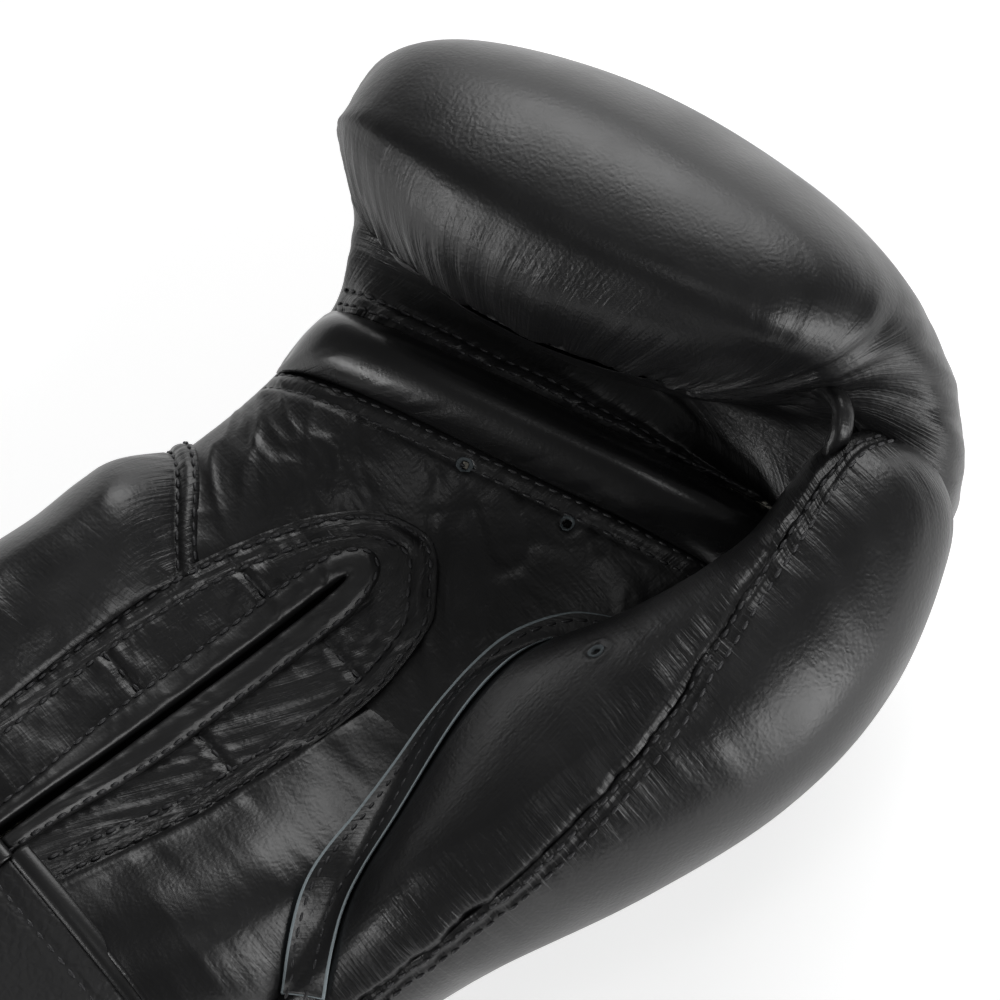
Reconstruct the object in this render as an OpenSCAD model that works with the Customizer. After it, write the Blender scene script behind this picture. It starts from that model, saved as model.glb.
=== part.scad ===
// Boxing glove for the right hand, lying on its back with the palm up.
// +Y runs from the wrist to the fist, +X towards the thumb and +Z out of the palm.
// The hand part is one bent tube of rings. Every layer of it, from the outer leather to the
// lining, is a patch of that tube between two depths, so the layers follow one another.

/* [Mitt] */
// Length from the top edge of the wrist strap to the front of the fist
mitt_length = 217; // [205:1:230]
// Reach of the fist from the slit line to the little finger side
fist_pinky_w = 70; // [64:1:76]
// Reach of the fist from the slit line to the index finger side
fist_index_w = 73; // [68:1:78]
// Reach of the palm from the slit line to the little finger side
palm_pinky_w = 50; // [47:1:53]
// Reach of the palm from the slit line to the thumb side
palm_index_w = 58; // [55:1:61]
// Height of the palm above the floor
palm_height = 64; // [61:1:67]
// Height of the top of the curled fist above the floor
fist_height = 120; // [116:1:124]
// Slant of the knuckles and the grip roll, as rise over run
grip_slant = 0.42; // [0.36:0.01:0.46]
// Depth of the hollow in the middle of the palm
palm_hollow = 5; // [2:0.5:7]

/* [Layers] */
// Thickness of the outer leather
leather_t = 1.4; // [1:0.1:1.8]
// Thickness of the woven lining
lining_t = 0.9; // [0.7:0.1:1.2]
// Gap that is left between one layer and the next
layer_gap = 0.2; // [0.15:0.05:0.3]
// Share of the padding's depth that the firm outer foam takes
firm_foam_share = 0.5; // [0.4:0.05:0.6]

/* [Grip roll and pads] */
// Distance between the two seams of the grip roll, along the palm
grip_roll_w = 20; // [18:0.5:22]
// Height of the grip roll above the palm
grip_roll_h = 9; // [7:0.5:10]
// Height of the padded heel on the little finger side
pinky_pad_h = 8; // [6:0.5:9]
// Height of the padded heel on the thumb side
thumb_pad_h = 9; // [7:0.5:10]
// Distance of the heel pads' upper end from the wrist strap
heel_pad_length = 78; // [74:1:82]
// Radius of each vent hole
vent_r = 1.1; // [0.8:0.1:1.5]

/* [Slit] */
// Length of the slit above the wrist strap
slit_length = 92; // [86:1:96]
// Open width of the slit
slit_w = 3; // [2:0.5:3.5]
// Width of the smooth binding on each side of the slit
binding_w = 5.8; // [5:0.2:6.4]
// Half width of the stitched facing round the slit
facing_half_w = 24; // [22:0.5:26]
// Distance of the facing's top from the wrist strap
facing_length = 110; // [106:1:113]

/* [Thumb] */
// Distance of the thumb's tip from the wrist strap
thumb_length = 194; // [188:1:198]
// Reach of the thumb beyond the index finger side of the palm
thumb_reach = 43; // [39:1:46]
// Height of the thumb's top above the floor
thumb_height = 101; // [97:1:104]
// Thickness of the thumb's padding
thumb_pad_t = 13; // [11:0.5:14]
// Width of the raw-edged band over the thumb seam
seam_band_w = 13; // [11:0.5:15]

/* [Cuff] */
// Length of the cuff below the strap's top edge
cuff_length = 74; // [68:1:80]
// Half width of the cuff
cuff_half_w = 54; // [51:1:57]
// Height of the cuff above the floor
cuff_height = 72; // [69:1:75]
// Thickness of the cuff's padding
cuff_pad_t = 9; // [7:0.5:10]
// Width of the binding round the cuff's mouth
mouth_binding_w = 5; // [4:0.5:7]

/* [Strap] */
// Width of the wrist strap along the wrist
strap_w = 52; // [46:1:56]
// Thickness of the strap's leather
strap_t = 2.4; // [2:0.1:3]
// Thickness of the hook tape and of the loop tape
tape_t = 1.2; // [1:0.1:1.5]
// Width of the smooth edging along the strap
edging_w = 4; // [3:0.5:5]

/* [Hidden] */

// Where the glove's own middle lies from the slit line and the strap's top edge
origin_x = (palm_index_w + thumb_reach - fist_pinky_w) / 2 - 0.66;
origin_y = (mitt_length - cuff_length) / 2 + 0.57;
floor_sink = 2; // how far the soft back is pressed flat by its own weight

ring_steps = 24; // points round each ring
ring_step = 360 / ring_steps;
path_step = 0.5; // share of a station between one ring and the next
back_n = 2.3; // roundness of the back of a ring: 2 is an ellipse, more is squarer
palm_n = 3.0; // roundness of the palm side of a ring
seam_gap = 0.4; // degrees, or hundredths of a station, between patches that meet at a seam
rest_gap = 0.3; // gap between a piece and the surface it lies on

// Path of the hand part, seen from the side
path_z = 34; // height of the hand's middle over the knuckles
bend_z = 64; // height of the fist's bend
bend_y = mitt_length - 31;
curl_z = fist_height - 26.4;
seam_low_y = 131; // grip roll's lower seam on the slit line
seam_high_y = seam_low_y + grip_roll_w;
mouth_y = -cuff_length;
cuff_r = (cuff_height + floor_sink) / 2; // half height of the cuff
cuff_z = cuff_height - cuff_r;
cuff_in = cuff_half_w + 4;
palm_r = palm_height - path_z;

// Stations of the outer form. Each row: y, z, heading, reach to the little finger side, reach
// to the index side, depth to the back, depth to the palm, slant, curve of the slant, hollow.
outer_rows = [
    [mouth_y, cuff_z, 0, cuff_half_w, cuff_in, cuff_r - 3.8, cuff_r, 0, 0, 0],
    [mouth_y / 2, cuff_z, 0, cuff_half_w, cuff_in, cuff_r, cuff_r, 0, 0, 0],
    [0, cuff_z, 0, cuff_half_w, cuff_in, cuff_r, cuff_r, 0, 0, 0],
    [34, 37, 0, palm_pinky_w + 2, palm_index_w + 4, 38, palm_r + 1, 0, 0, palm_hollow / 2],
    [72, 35, 0, palm_pinky_w + 1, palm_index_w + 2, 37, palm_r, 0.08, 0, palm_hollow],
    [106, path_z, 0, palm_pinky_w, palm_index_w, 36, palm_r, 0.27, 0, palm_hollow],
    [seam_low_y, path_z, 0, palm_pinky_w + 1, palm_index_w, 36, palm_r, grip_slant, 0, palm_hollow / 2],
    [seam_high_y, path_z + 1, 6, palm_pinky_w + 4, palm_index_w + 3, 36, palm_r - 1, grip_slant, 0, 0],
    [bend_y - 14, path_z + 8, 42, palm_pinky_w + 11, fist_index_w - 4, 34, 25, 0.32, -0.1, 0],
    [bend_y, bend_z, 90, fist_pinky_w - 1, fist_index_w, 31, 22, 0.2, -0.22, 0],
    [bend_y - 7.5, bend_z + 22, 138, fist_pinky_w, 52, 31, 21.5, 0.3, 0.07, 0],
    [bend_y - 20, curl_z, 168, fist_pinky_w, 44, 27, 20.5, 0.39, 0.22, 0],
    [bend_y - 27, curl_z + 0.5, 178, fist_pinky_w - 4, 40, 20, 19, 0.45, 0.4, 0],
    [bend_y - 33, curl_z - 1.5, 180, fist_pinky_w - 13, 34, 13, 13, 0.5, 0.53, 0],
    [bend_y - 36.5, curl_z - 4, 180, fist_pinky_w - 25, 24, 2, 2, 0.52, 0.57, 0]];

// Walls of the hand's space at the same stations: reaches and depths from the same path
cavity_rows = [
    [cuff_half_w - cuff_pad_t - 2, cuff_in - cuff_pad_t - 2, cuff_r - cuff_pad_t - 4, cuff_r - cuff_pad_t - 2],
    [cuff_half_w - cuff_pad_t - 2, cuff_in - cuff_pad_t - 2, cuff_r - cuff_pad_t - 4, cuff_r - cuff_pad_t - 2],
    [cuff_half_w - cuff_pad_t - 3, cuff_in - cuff_pad_t - 3, 22, cuff_r - cuff_pad_t - 3],
    [41, 47, 16, palm_r - 5],
    [40, 46, 10, palm_r - 6],
    [39, 45, 7, palm_r - 6],
    [39, 45, 6, palm_r - 6],
    [40, 46, 5, palm_r - 7],
    [44, 50, 5, 19],
    [47, 50, 5, 17],
    [46, 31, 5, 14],
    [44, 23, 5, 13.5],
    [38, 17, 4, 12],
    [28, 14, 2, 8],
    [20, 8, 1, 2]];

wrist_s = 2;
seam_low_s = 6;
seam_high_s = 7;
tip_s = len(outer_rows) - 1;
cavity_end_s = 12.6; // where the hand's space ends inside the fist's tip

// Spine of the thumb. Each row: x, y, z, heading, reach inwards, reach outwards, depth below,
// depth above, how far the seams are turned, roundness of the inner upper quarter.
thumb_mid_x = palm_index_w + thumb_reach - 29;
thumb_mid_z = thumb_height - 26;
thumb_rows = [
    [thumb_mid_x - 16, 6, 45, 0, 6, 7, 8, 8, -24, 2],
    [thumb_mid_x - 6, 30, 53, 0, 9, 10, 16, 15, -24, 1.8],
    [thumb_mid_x - 5, 62, 63, 0, 20, 17.5, 20, 25, -24, 1.5],
    [thumb_mid_x - 1, 96, 70, 0, 34, 23.5, 24, 28, -4, 1.35],
    [thumb_mid_x, thumb_length - 66, thumb_mid_z, 0, 24, 28, 26, 26, 15, 1.7],
    [thumb_mid_x - 5, thumb_length - 38, thumb_mid_z, 8, 14, 28, 25, 25, 30, 2.1],
    [thumb_mid_x - 12, thumb_length - 14, thumb_mid_z, 16, 12, 22, 19, 21, 36, 2.2],
    [thumb_mid_x - 14, thumb_length - 4, thumb_mid_z, 20, 8, 13, 12, 13, 36, 2.2],
    [thumb_mid_x - 15, thumb_length, thumb_mid_z, 20, 1, 1, 1, 1, 36, 2.2]];
thumb_panel_from = 75; // degrees round the thumb between which its inner panel lies
thumb_panel_to = 225;

// Spine of the thumb's space, from inside the palm to near the thumb's tip
thumb_space_rows = [
    [palm_index_w - 28, 24, 39, -30, 9, 9, 8, 8, 0, 2.2],
    [palm_index_w - 12, 50, 46, -30, 9, 9, 7, 7.5, 0, 2.2],
    [palm_index_w + 3, 76, 58.3, -25, 10, 10, 8, 9.5, 0, 2.2],
    [palm_index_w + 10, 102, 69, -10, 12, 12, 12, 12, 0, 2.2],
    [thumb_mid_x, thumb_length - 66, thumb_mid_z, 0, 13, 13, 13, 13, 0, 2.2],
    [thumb_mid_x - 3, thumb_length - 38, thumb_mid_z, 12, 11, 14, 12, 12, 0, 2.2],
    [thumb_mid_x - 8, thumb_length - 24, thumb_mid_z, 18, 8, 9, 9, 9, 0, 2.2],
    [thumb_mid_x - 10, thumb_length - 20, thumb_mid_z, 18, 3, 3, 3, 3, 0, 2.2]];

// Outer edge of the stitched facing, as seen from above, on the little finger side and back
facing_edge = [[-facing_half_w + 3.5, 1], [-facing_half_w + 1, 16], [-facing_half_w, 36],
    [-facing_half_w + 0.5, 58], [-facing_half_w + 4, 78], [-facing_half_w + 10, 95],
    [-facing_half_w + 17, facing_length - 5], [-facing_half_w + 25, facing_length - 0.6],
    [-facing_half_w + 31, facing_length - 0.6], [facing_half_w - 10, facing_length - 6],
    [facing_half_w - 4, 97], [facing_half_w, 80], [facing_half_w, 58], [facing_half_w - 2, 36],
    [facing_half_w - 6, 16], [facing_half_w - 9, 1]];

// Edges of the raw-edged band over the thumb seam, from above: the palm side first
band_inner = [[palm_index_w + 3, 25], [palm_index_w - 9.5, 43], [palm_index_w - 16, 61.5],
    [palm_index_w - 23.2, 83.5], [palm_index_w - 26.2, 100], [palm_index_w - 25.8, 111],
    [palm_index_w - 21.5, 121.5], [palm_index_w - 15, 128]];
band_turn = [7, 7, 8, 10, 13, 13, 12, 0]; // width of the band at those places, in 13ths

strap_low_s = wrist_s - 2 * strap_w / cuff_length;
flap_hinge_a = 168; // degrees round the cuff at which the flap folds
end_hinge_a = 80; // degrees round the cuff at which the strap's end peels up
root_a = 216;
end_a = 30;
tape_a = 75;
loop_top = rest_gap + tape_t; // height of the loop tape's face above the cuff
edging_t = 0.8;

// ---------------------------------------------------------------- curves and rings

// Smooth value between p1 and p2, at the share t of the way
function smooth4(p0, p1, p2, p3, t) = 0.5 * (2 * p1 + (p2 - p0) * t
    + (2 * p0 - 5 * p1 + 4 * p2 - p3) * t * t + (3 * p1 - p0 - 3 * p2 + p3) * t * t * t);

// Row of a table at a station that need not be whole, straight up to the station straight_to
function row_at(rows, s, straight_to = 0) =
    let (last = len(rows) - 1, i = max(0, min(floor(s), last - 1)), t = s - i)
    s < straight_to ? rows[i] * (1 - t) + rows[i + 1] * t
        : smooth4(rows[max(i - 1, 0)], rows[i], rows[i + 1], rows[min(i + 2, last)], t);

function signed_power(v, e) = sign(v) * pow(abs(v), e);

// Point of the hand part's ring at angle a: 0 is the index side, 90 the palm
function ring_point(row, widths, a, grow = 0) =
    let (n = sin(a) < 0 ? back_n : palm_n,
        across = ((cos(a) < 0 ? widths[0] : widths[1]) + grow) * signed_power(cos(a), 2 / n),
        dip = sin(a) > 0 ? row[9] * exp(-pow((across - 6) / 26, 2)) : 0,
        deep = ((sin(a) < 0 ? widths[2] : widths[3]) + grow) * signed_power(sin(a), 2 / n) - dip)
    [across,
        row[0] - deep * sin(row[2]) + row[7] * across + row[8] * across * across / 100,
        row[1] + deep * cos(row[2])];

function form_point(s, a) = let (row = row_at(outer_rows, s, wrist_s))
    ring_point(row, [row[3], row[4], row[5], row[6]], a);

// The hand's space ends before the outer form does
function cavity_s(s) = s < 10 ? s : 10 + (s - 10) * (cavity_end_s - 10) / (tip_s - 10);

function cavity_point(s, a, grow = 0) = let (c = cavity_s(s))
    ring_point(row_at(outer_rows, c, wrist_s), row_at(cavity_rows, c, wrist_s), a, grow);

// Outward direction of the outer form
function form_normal(s, a) = let (e = 0.05,
        n = cross(form_point(min(s + e, tip_s), a) - form_point(max(s - e, 0), a),
            form_point(s, a + 2) - form_point(s, a - 2)))
    n / norm(n);

// Outer form moved along its normal, and flat where it lies on the floor
function skin_point(s, a, off) = let (p = form_point(s, a) + off * form_normal(s, a))
    [p[0], p[1], max(p[2], -off)];

// Point at a share of the depth between the leather and the lining
function padding_point(s, a, share) =
    let (o = skin_point(s, a, -leather_t - layer_gap), i = cavity_point(s, a, lining_t + layer_gap))
    o * (1 - share) + i * share;

// Ring of the thumb, or of the thumb's space. 0 degrees is the outside, 90 the top.
function thumb_point(rows, s, a, grow = 0) =
    let (row = row_at(rows, s), b = a + row[8], n = cos(b) < 0 && sin(b) > 0 ? row[9] : 2.2,
        across = max(0.5, (cos(b) < 0 ? row[4] : row[5]) + grow) * signed_power(cos(b), 2 / n),
        up = max(0.5, (sin(b) < 0 ? row[6] : row[7]) + grow) * signed_power(sin(b), 2 / n))
    [row[0] + across * cos(row[3]), row[1] + across * sin(row[3]), row[2] + up];

thumb_tip_s = len(thumb_rows) - 1;

function thumb_skin(s, a, off) = let (e = 0.05,
        n = cross(thumb_point(thumb_rows, min(s + e, thumb_tip_s), a)
                - thumb_point(thumb_rows, max(s - e, 0), a),
            thumb_point(thumb_rows, s, a + 2) - thumb_point(thumb_rows, s, a - 2)))
    thumb_point(thumb_rows, s, a) + off * n / norm(n);

// ---------------------------------------------------------------- solids from grids

function steps(from, to, step) = let (n = max(1, round((to - from) / step)))
    [for (i = [0:n]) from + (to - from) * i / n];

function quad(a, b, c, d) = [[a, c, b], [a, d, c]];

// Closed slab between an outer and an inner grid of points of the same size
module slab(outer, inner) {
    rows = len(outer);
    cols = len(outer[0]);
    half = rows * cols;
    polyhedron(points = [for (r = outer) each r, for (r = inner) each r],
        faces = [
            for (i = [0:rows - 2]) for (j = [0:cols - 2]) let (k = i * cols + j)
                each quad(k, k + cols, k + cols + 1, k + 1),
            for (i = [0:rows - 2]) for (j = [0:cols - 2]) let (k = half + i * cols + j)
                each quad(k, k + 1, k + cols + 1, k + cols),
            for (j = [0:cols - 2]) each quad(j, j + 1, half + j + 1, half + j),
            for (j = [0:cols - 2]) let (k = (rows - 1) * cols + j)
                each quad(k, k + half, k + half + 1, k + 1),
            for (i = [0:rows - 2]) let (k = i * cols) each quad(k, k + half, k + half + cols, k + cols),
            for (i = [0:rows - 2]) let (k = i * cols + cols - 1)
                each quad(k, k + cols, k + half + cols, k + half)],
        convexity = 10);
}

// Closed solid through a list of rings, with flat ends
module loft(rings) {
    n = len(rings[0]);
    last = (len(rings) - 1) * n;
    polyhedron(points = [for (r = rings) each r],
        faces = [
            [for (j = [n - 1:-1:0]) j],
            [for (j = [0:n - 1]) last + j],
            for (i = [0:len(rings) - 2]) for (j = [0:n - 1]) let (k = i * n, m = (j + 1) % n)
                each quad(k + j, k + n + j, k + n + m, k + m)],
        convexity = 10);
}

// Soft forms that are cut by one another are kept as the faceted forms they are
module soft() {
    resize([0, 0, 0]) children();
}

module place() {
    translate([-origin_x, -origin_y, 0]) children();
}

ring_angles = [for (j = [0:ring_steps - 1]) ring_step * j];

module mitt_form(off) {
    loft([for (s = steps(wrist_s - 0.5, tip_s, path_step))
        [for (a = ring_angles) skin_point(s, a, off)]]);
}

// Length of the hand part between two stations only, for pieces that lie on it
module mitt_length_form(s0, s1, off) {
    loft([for (s = steps(s0, s1, path_step)) [for (a = ring_angles) skin_point(s, a, off)]]);
}

module thumb_form(off) {
    loft([for (s = steps(0, thumb_tip_s, path_step)) [for (a = ring_angles) thumb_skin(s, a, off)]]);
}

module thumb_space(grow) {
    loft([for (s = steps(0, len(thumb_space_rows) - 1, path_step))
        [for (a = ring_angles) thumb_point(thumb_space_rows, s, a, grow)]]);
}

module hand_space(grow) {
    loft([for (s = steps(wrist_s, tip_s, path_step)) [for (a = ring_angles) cavity_point(s, a, grow)]]);
}

// Patch of the hand part between two heights over its surface
module skin_patch(s0, s1, a0, a1, out, in, step = path_step) {
    angles = steps(a0, a1, ring_step);
    slab([for (s = steps(s0, s1, step)) [for (a = angles) skin_point(s, a, out)]],
        [for (s = steps(s0, s1, step)) [for (a = angles) skin_point(s, a, in)]]);
}

// Patch of the padding between two shares of its depth
module padding_patch(s0, s1, a0, a1, share_out, share_in) {
    angles = steps(a0, a1, ring_step);
    slab([for (s = steps(s0, s1, path_step)) [for (a = angles) padding_point(s, a, share_out)]],
        [for (s = steps(s0, s1, path_step)) [for (a = angles) padding_point(s, a, share_in)]]);
}

// Cut through the palm side for the slit
module slit_cut(w, end = slit_length) {
    translate([-w / 2, mouth_y - 20, palm_height - 24]) cube([w, end - mouth_y + 20, 60]);
}

// ---------------------------------------------------------------- hand part

back_from = 180 - ring_step; // the outer leather runs from here, under the hand, to back_to
back_to = 360 + ring_step;
palm_from = ring_step + seam_gap;
palm_to = 180 - ring_step - seam_gap;

module thumb_way() {
    thumb_space(lining_t + layer_gap);
}

module mitt_leather() {
    color([0.05, 0.05, 0.05]) place() soft() difference() {
        skin_patch(wrist_s, tip_s, back_from, back_to, 0, -leather_t);
        thumb_way();
    }
}

module firm_foam() {
    color([0.75, 0.75, 0.7]) place() soft() difference() {
        padding_patch(wrist_s, tip_s, back_from, back_to, 0, firm_foam_share);
        thumb_way();
    }
}

module soft_foam() {
    color([0.85, 0.83, 0.75]) place() soft() difference() {
        padding_patch(wrist_s, tip_s, back_from, back_to, firm_foam_share + 0.02, 1);
        thumb_way();
    }
}

module hand_lining() {
    rows = steps(wrist_s, tip_s, path_step);
    angles = steps(90 + seam_gap, 450 - seam_gap, ring_step);
    color([0.1, 0.1, 0.1]) place() soft() difference() {
        slab([for (s = rows) [for (a = angles) cavity_point(s, a, lining_t)]],
            [for (s = rows) [for (a = angles) cavity_point(s, a)]]);
        slit_cut(slit_w);
        thumb_way();
    }
}

// ---------------------------------------------------------------- palm side

vents = [[-3, 125.5], [21, 133.5]];

module palm_leather() {
    color([0.05, 0.05, 0.05]) place() soft() difference() {
        skin_patch(wrist_s, seam_low_s - seam_gap / 20, palm_from, palm_to, 0, -leather_t);
        slit_cut(slit_w);
        thumb_way();
        for (v = vents)
            translate([v[0], v[1], path_z]) cylinder(r = vent_r, h = 60, $fn = 12);
    }
}

module palm_foam() {
    color([0.85, 0.83, 0.75]) place() soft() difference() {
        padding_patch(wrist_s, 12, palm_from + 1.6, palm_to - 1.1, 0.045, 1);
        slit_cut(slit_w);
        thumb_way();
    }
}

// Swelling of the grip roll: nothing at its two seams and at its ends
function roll_swell(s, a) = pow(max(0, sin(180 * (s - seam_low_s) / (seam_high_s - seam_low_s))), 0.6)
    * pow(max(0, sin(180 * (a - ring_step) / (180 - 2 * ring_step))), 0.35);

roll_rows = steps(seam_low_s + 0.02, seam_high_s - 0.02, 0.11);
roll_angles = steps(palm_from, palm_to, ring_step);

module grip_roll_leather() {
    color([0.05, 0.05, 0.05]) place() soft() difference() {
        slab([for (s = roll_rows) [for (a = roll_angles) skin_point(s, a, grip_roll_h * roll_swell(s, a))]],
            [for (s = roll_rows) [for (a = roll_angles)
                skin_point(s, a, grip_roll_h * roll_swell(s, a) - leather_t)]]);
        thumb_form(rest_gap);
    }
}

module grip_roll_core() {
    rows = [for (i = [1:len(roll_rows) - 2]) roll_rows[i]];
    angles = [for (i = [1:len(roll_angles) - 2]) roll_angles[i]];
    under = 0.1 - leather_t;
    color([0.85, 0.83, 0.75]) place() soft() difference() {
        slab([for (s = rows) [for (a = angles)
                skin_point(s, a, max(under + 0.6, grip_roll_h * roll_swell(s, a) - leather_t - rest_gap))]],
            [for (s = rows) [for (a = angles) skin_point(s, a, under)]]);
        thumb_form(rest_gap + leather_t + 0.3);
    }
}

module finger_panel() {
    color([0.05, 0.05, 0.05]) place() soft()
        skin_patch(seam_high_s + seam_gap / 20, tip_s, palm_from + 1.2, palm_to, 0, -leather_t);
}

// Layer that lies on the palm, with the outline of its children
module on_palm(over, under) {
    intersection() {
        difference() {
            mitt_length_form(wrist_s, seam_low_s, over);
            mitt_length_form(wrist_s - 0.5, seam_low_s + 0.5, under);
        }
        translate([0, 0, path_z]) linear_extrude(height = 80) children();
    }
}

// Outline round the slit, at a distance from its edge
module slit_outline(w) {
    hull() {
        translate([-slit_w / 2 - w * 0.55, 0.8]) square([slit_w + w * 1.1, 1]);
        translate([-slit_w / 2 - w, 40]) square([slit_w + 2 * w, slit_length - 48]);
        translate([0, slit_length + w - 7]) circle(r = 7, $fn = 12);
    }
}

module slit_facing() {
    color([0.05, 0.05, 0.05]) place() soft() on_palm(rest_gap + 1.1, rest_gap) difference() {
        polygon(facing_edge);
        translate([-slit_w / 2, -10]) square([slit_w, slit_length + 10]);
    }
}

module slit_binding() {
    color([0.05, 0.05, 0.05]) place() soft() on_palm(rest_gap * 2 + 3, rest_gap * 2 + 1.1) difference() {
        slit_outline(binding_w);
        translate([-slit_w / 2, -10]) square([slit_w, slit_length + 10]);
    }
}

module slit_gusset() {
    rows = steps(wrist_s, 4.9, path_step);
    angles = steps(90 - ring_step, 90 + ring_step, ring_step);
    color([0.05, 0.05, 0.05]) place()
        slab([for (s = rows) [for (a = angles) cavity_point(s, a, -layer_gap - 0.1)]],
            [for (s = rows) [for (a = angles) cavity_point(s, a, -layer_gap - 1)]]);
}

// ---------------------------------------------------------------- heel pads

pad_from_s = wrist_s + 0.05;
pad_to_s = wrist_s + 2 * (heel_pad_length / 76) + 0.1;

function pad_swell(s, a, a0, a1) =
    pow(max(0, sin(90 + 90 * max(0, s - 3) / (pad_to_s - 3))), 0.6)
    * min(1, 0.45 + (s - pad_from_s) * 1.4)
    * pow(max(0, sin(180 * (a - a0) / (a1 - a0))), 0.7);

module pad_leather(a0, a1, h) {
    rows = steps(pad_from_s, pad_to_s, 0.22);
    angles = steps(a0, a1, 8);
    slab([for (s = rows) [for (a = angles)
            skin_point(s, a, rest_gap + leather_t + h * pad_swell(s, a, a0, a1))]],
        [for (s = rows) [for (a = angles) skin_point(s, a, rest_gap + h * pad_swell(s, a, a0, a1))]]);
}

module pad_foam(a0, a1, h) {
    rows = steps(pad_from_s + 0.06, pad_to_s - 0.2, 0.25);
    angles = steps(a0 + 8, a1 - 8, 8);
    slab([for (s = rows) [for (a = angles)
            skin_point(s, a, max(rest_gap + 0.5, h * pad_swell(s, a, a0, a1) - 0.4))]],
        [for (s = rows) [for (a = angles) skin_point(s, a, rest_gap)]]);
}

module pinky_pad_leather() {
    color([0.05, 0.05, 0.05]) place() pad_leather(114, 186, pinky_pad_h);
}

module pinky_pad_foam() {
    color([0.85, 0.83, 0.75]) place() pad_foam(114, 186, pinky_pad_h);
}

module thumb_pad_leather() {
    color([0.05, 0.05, 0.05]) place() soft() difference() {
        pad_leather(18, 70, thumb_pad_h);
        thumb_form(rest_gap);
    }
}

module thumb_pad_foam() {
    color([0.85, 0.83, 0.75]) place() soft() difference() {
        pad_foam(18, 70, thumb_pad_h);
        thumb_form(rest_gap + leather_t + 0.3);
    }
}

// ---------------------------------------------------------------- thumb

module thumb_patch(a0, a1, out, in) {
    rows = steps(0, thumb_tip_s, path_step);
    angles = steps(a0, a1, ring_step);
    slab([for (s = rows) [for (a = angles) thumb_skin(s, a, out)]],
        [for (s = rows) [for (a = angles) thumb_skin(s, a, in)]]);
}

module thumb_leather() {
    color([0.05, 0.05, 0.05]) place() soft() difference() {
        thumb_patch(thumb_panel_to - 360 + seam_gap, thumb_panel_from - seam_gap, 0, -leather_t);
        mitt_form(rest_gap);
    }
}

module thumb_panel() {
    color([0.05, 0.05, 0.05]) place() soft() difference() {
        thumb_patch(thumb_panel_from, thumb_panel_to, 0, -leather_t);
        mitt_form(rest_gap);
        translate([thumb_mid_x - 18, 116, 0]) cylinder(r = vent_r, h = 200, $fn = 12);
    }
}

module thumb_foam() {
    color([0.85, 0.83, 0.75]) place() soft() difference() {
        thumb_form(-leather_t - layer_gap);
        mitt_form(rest_gap);
        thumb_way();
    }
}

module thumb_lining() {
    color([0.1, 0.1, 0.1]) place() soft() difference() {
        thumb_space(lining_t);
        thumb_space(0);
        hand_space(lining_t + layer_gap);
    }
}

band_outer = [for (i = [0:len(band_inner) - 1]) let (
        d = band_inner[min(i + 1, len(band_inner) - 1)] - band_inner[max(i - 1, 0)],
        n = [d[1], -d[0]] / norm(d))
    band_inner[i] + n * seam_band_w * (i == 0 ? 0.75 : i > 6 ? 0.2 : 0.7)];

// Band that follows the crease between the palm and the thumb
module thumb_seam_band() {
    color([0.05, 0.05, 0.05]) place() soft() intersection() {
        difference() {
            union() {
                mitt_length_form(wrist_s + 0.5, 7.5, rest_gap + 1.2);
                thumb_form(rest_gap + 1.2);
            }
            mitt_form(rest_gap);
            thumb_form(rest_gap);
            thumb_pad_clear();
        }
        translate([0, 0, 50]) linear_extrude(height = 60)
            polygon(concat(band_inner, [for (i = [len(band_outer) - 1:-1:0]) band_outer[i]]));
    }
}

// Room for the thumb side heel pad under the band's lower end
module thumb_pad_clear() {
    rows = steps(pad_from_s - 0.02, pad_to_s + 0.02, 0.22);
    angles = steps(17, 71, 9);
    slab([for (s = rows) [for (a = angles)
            skin_point(s, a, 2 * rest_gap + 0.1 + leather_t + thumb_pad_h * pad_swell(s, a, 18, 70))]],
        [for (s = rows) [for (a = angles) skin_point(s, a, -4)]]);
}

// Loop that ties the thumb's tip to the end of the curled fist
tab_path = [[33, bend_y - 3, 92], [45, bend_y - 3, 95.5], [thumb_mid_x - 15, thumb_length - 12, 93]];

module thumb_tab() {
    color([0.05, 0.05, 0.05]) place() soft() difference() {
        for (i = [0:1]) hull() {
            translate(tab_path[i]) cube([3, 10, 2.4], center = true);
            translate(tab_path[i + 1]) cube([3, 10, 2.4], center = true);
        }
        mitt_form(rest_gap);
        thumb_form(rest_gap);
    }
}

// ---------------------------------------------------------------- cuff

// Layer that goes round the cuff, open at the slit
module cuff_patch(s0, s1, out, in) {
    rows = steps(s0, s1, 0.5);
    angles = steps(90, 450, ring_step);
    slab([for (s = rows) [for (a = angles) out < 0.001 ? skin_point(s, a, out) : padding_point(s, a, out)]],
        [for (s = rows) [for (a = angles) in < 0.001 ? skin_point(s, a, in) : padding_point(s, a, in)]]);
}

module cuff_leather() {
    color([0.05, 0.05, 0.05]) place() soft() difference() {
        cuff_patch(0, wrist_s - 0.01, 0, -leather_t);
        slit_cut(slit_w);
    }
}

module cuff_foam() {
    color([0.75, 0.75, 0.7]) place() soft() difference() {
        cuff_patch(0, wrist_s - 0.01, 0.001, 1);
        slit_cut(slit_w);
    }
}

module cuff_lining() {
    rows = steps(0, wrist_s - 0.01, 0.5);
    angles = steps(90, 450, ring_step);
    color([0.1, 0.1, 0.1]) place() soft() difference() {
        slab([for (s = rows) [for (a = angles) cavity_point(s, a, lining_t)]],
            [for (s = rows) [for (a = angles) cavity_point(s, a)]]);
        slit_cut(slit_w);
    }
}

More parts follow.
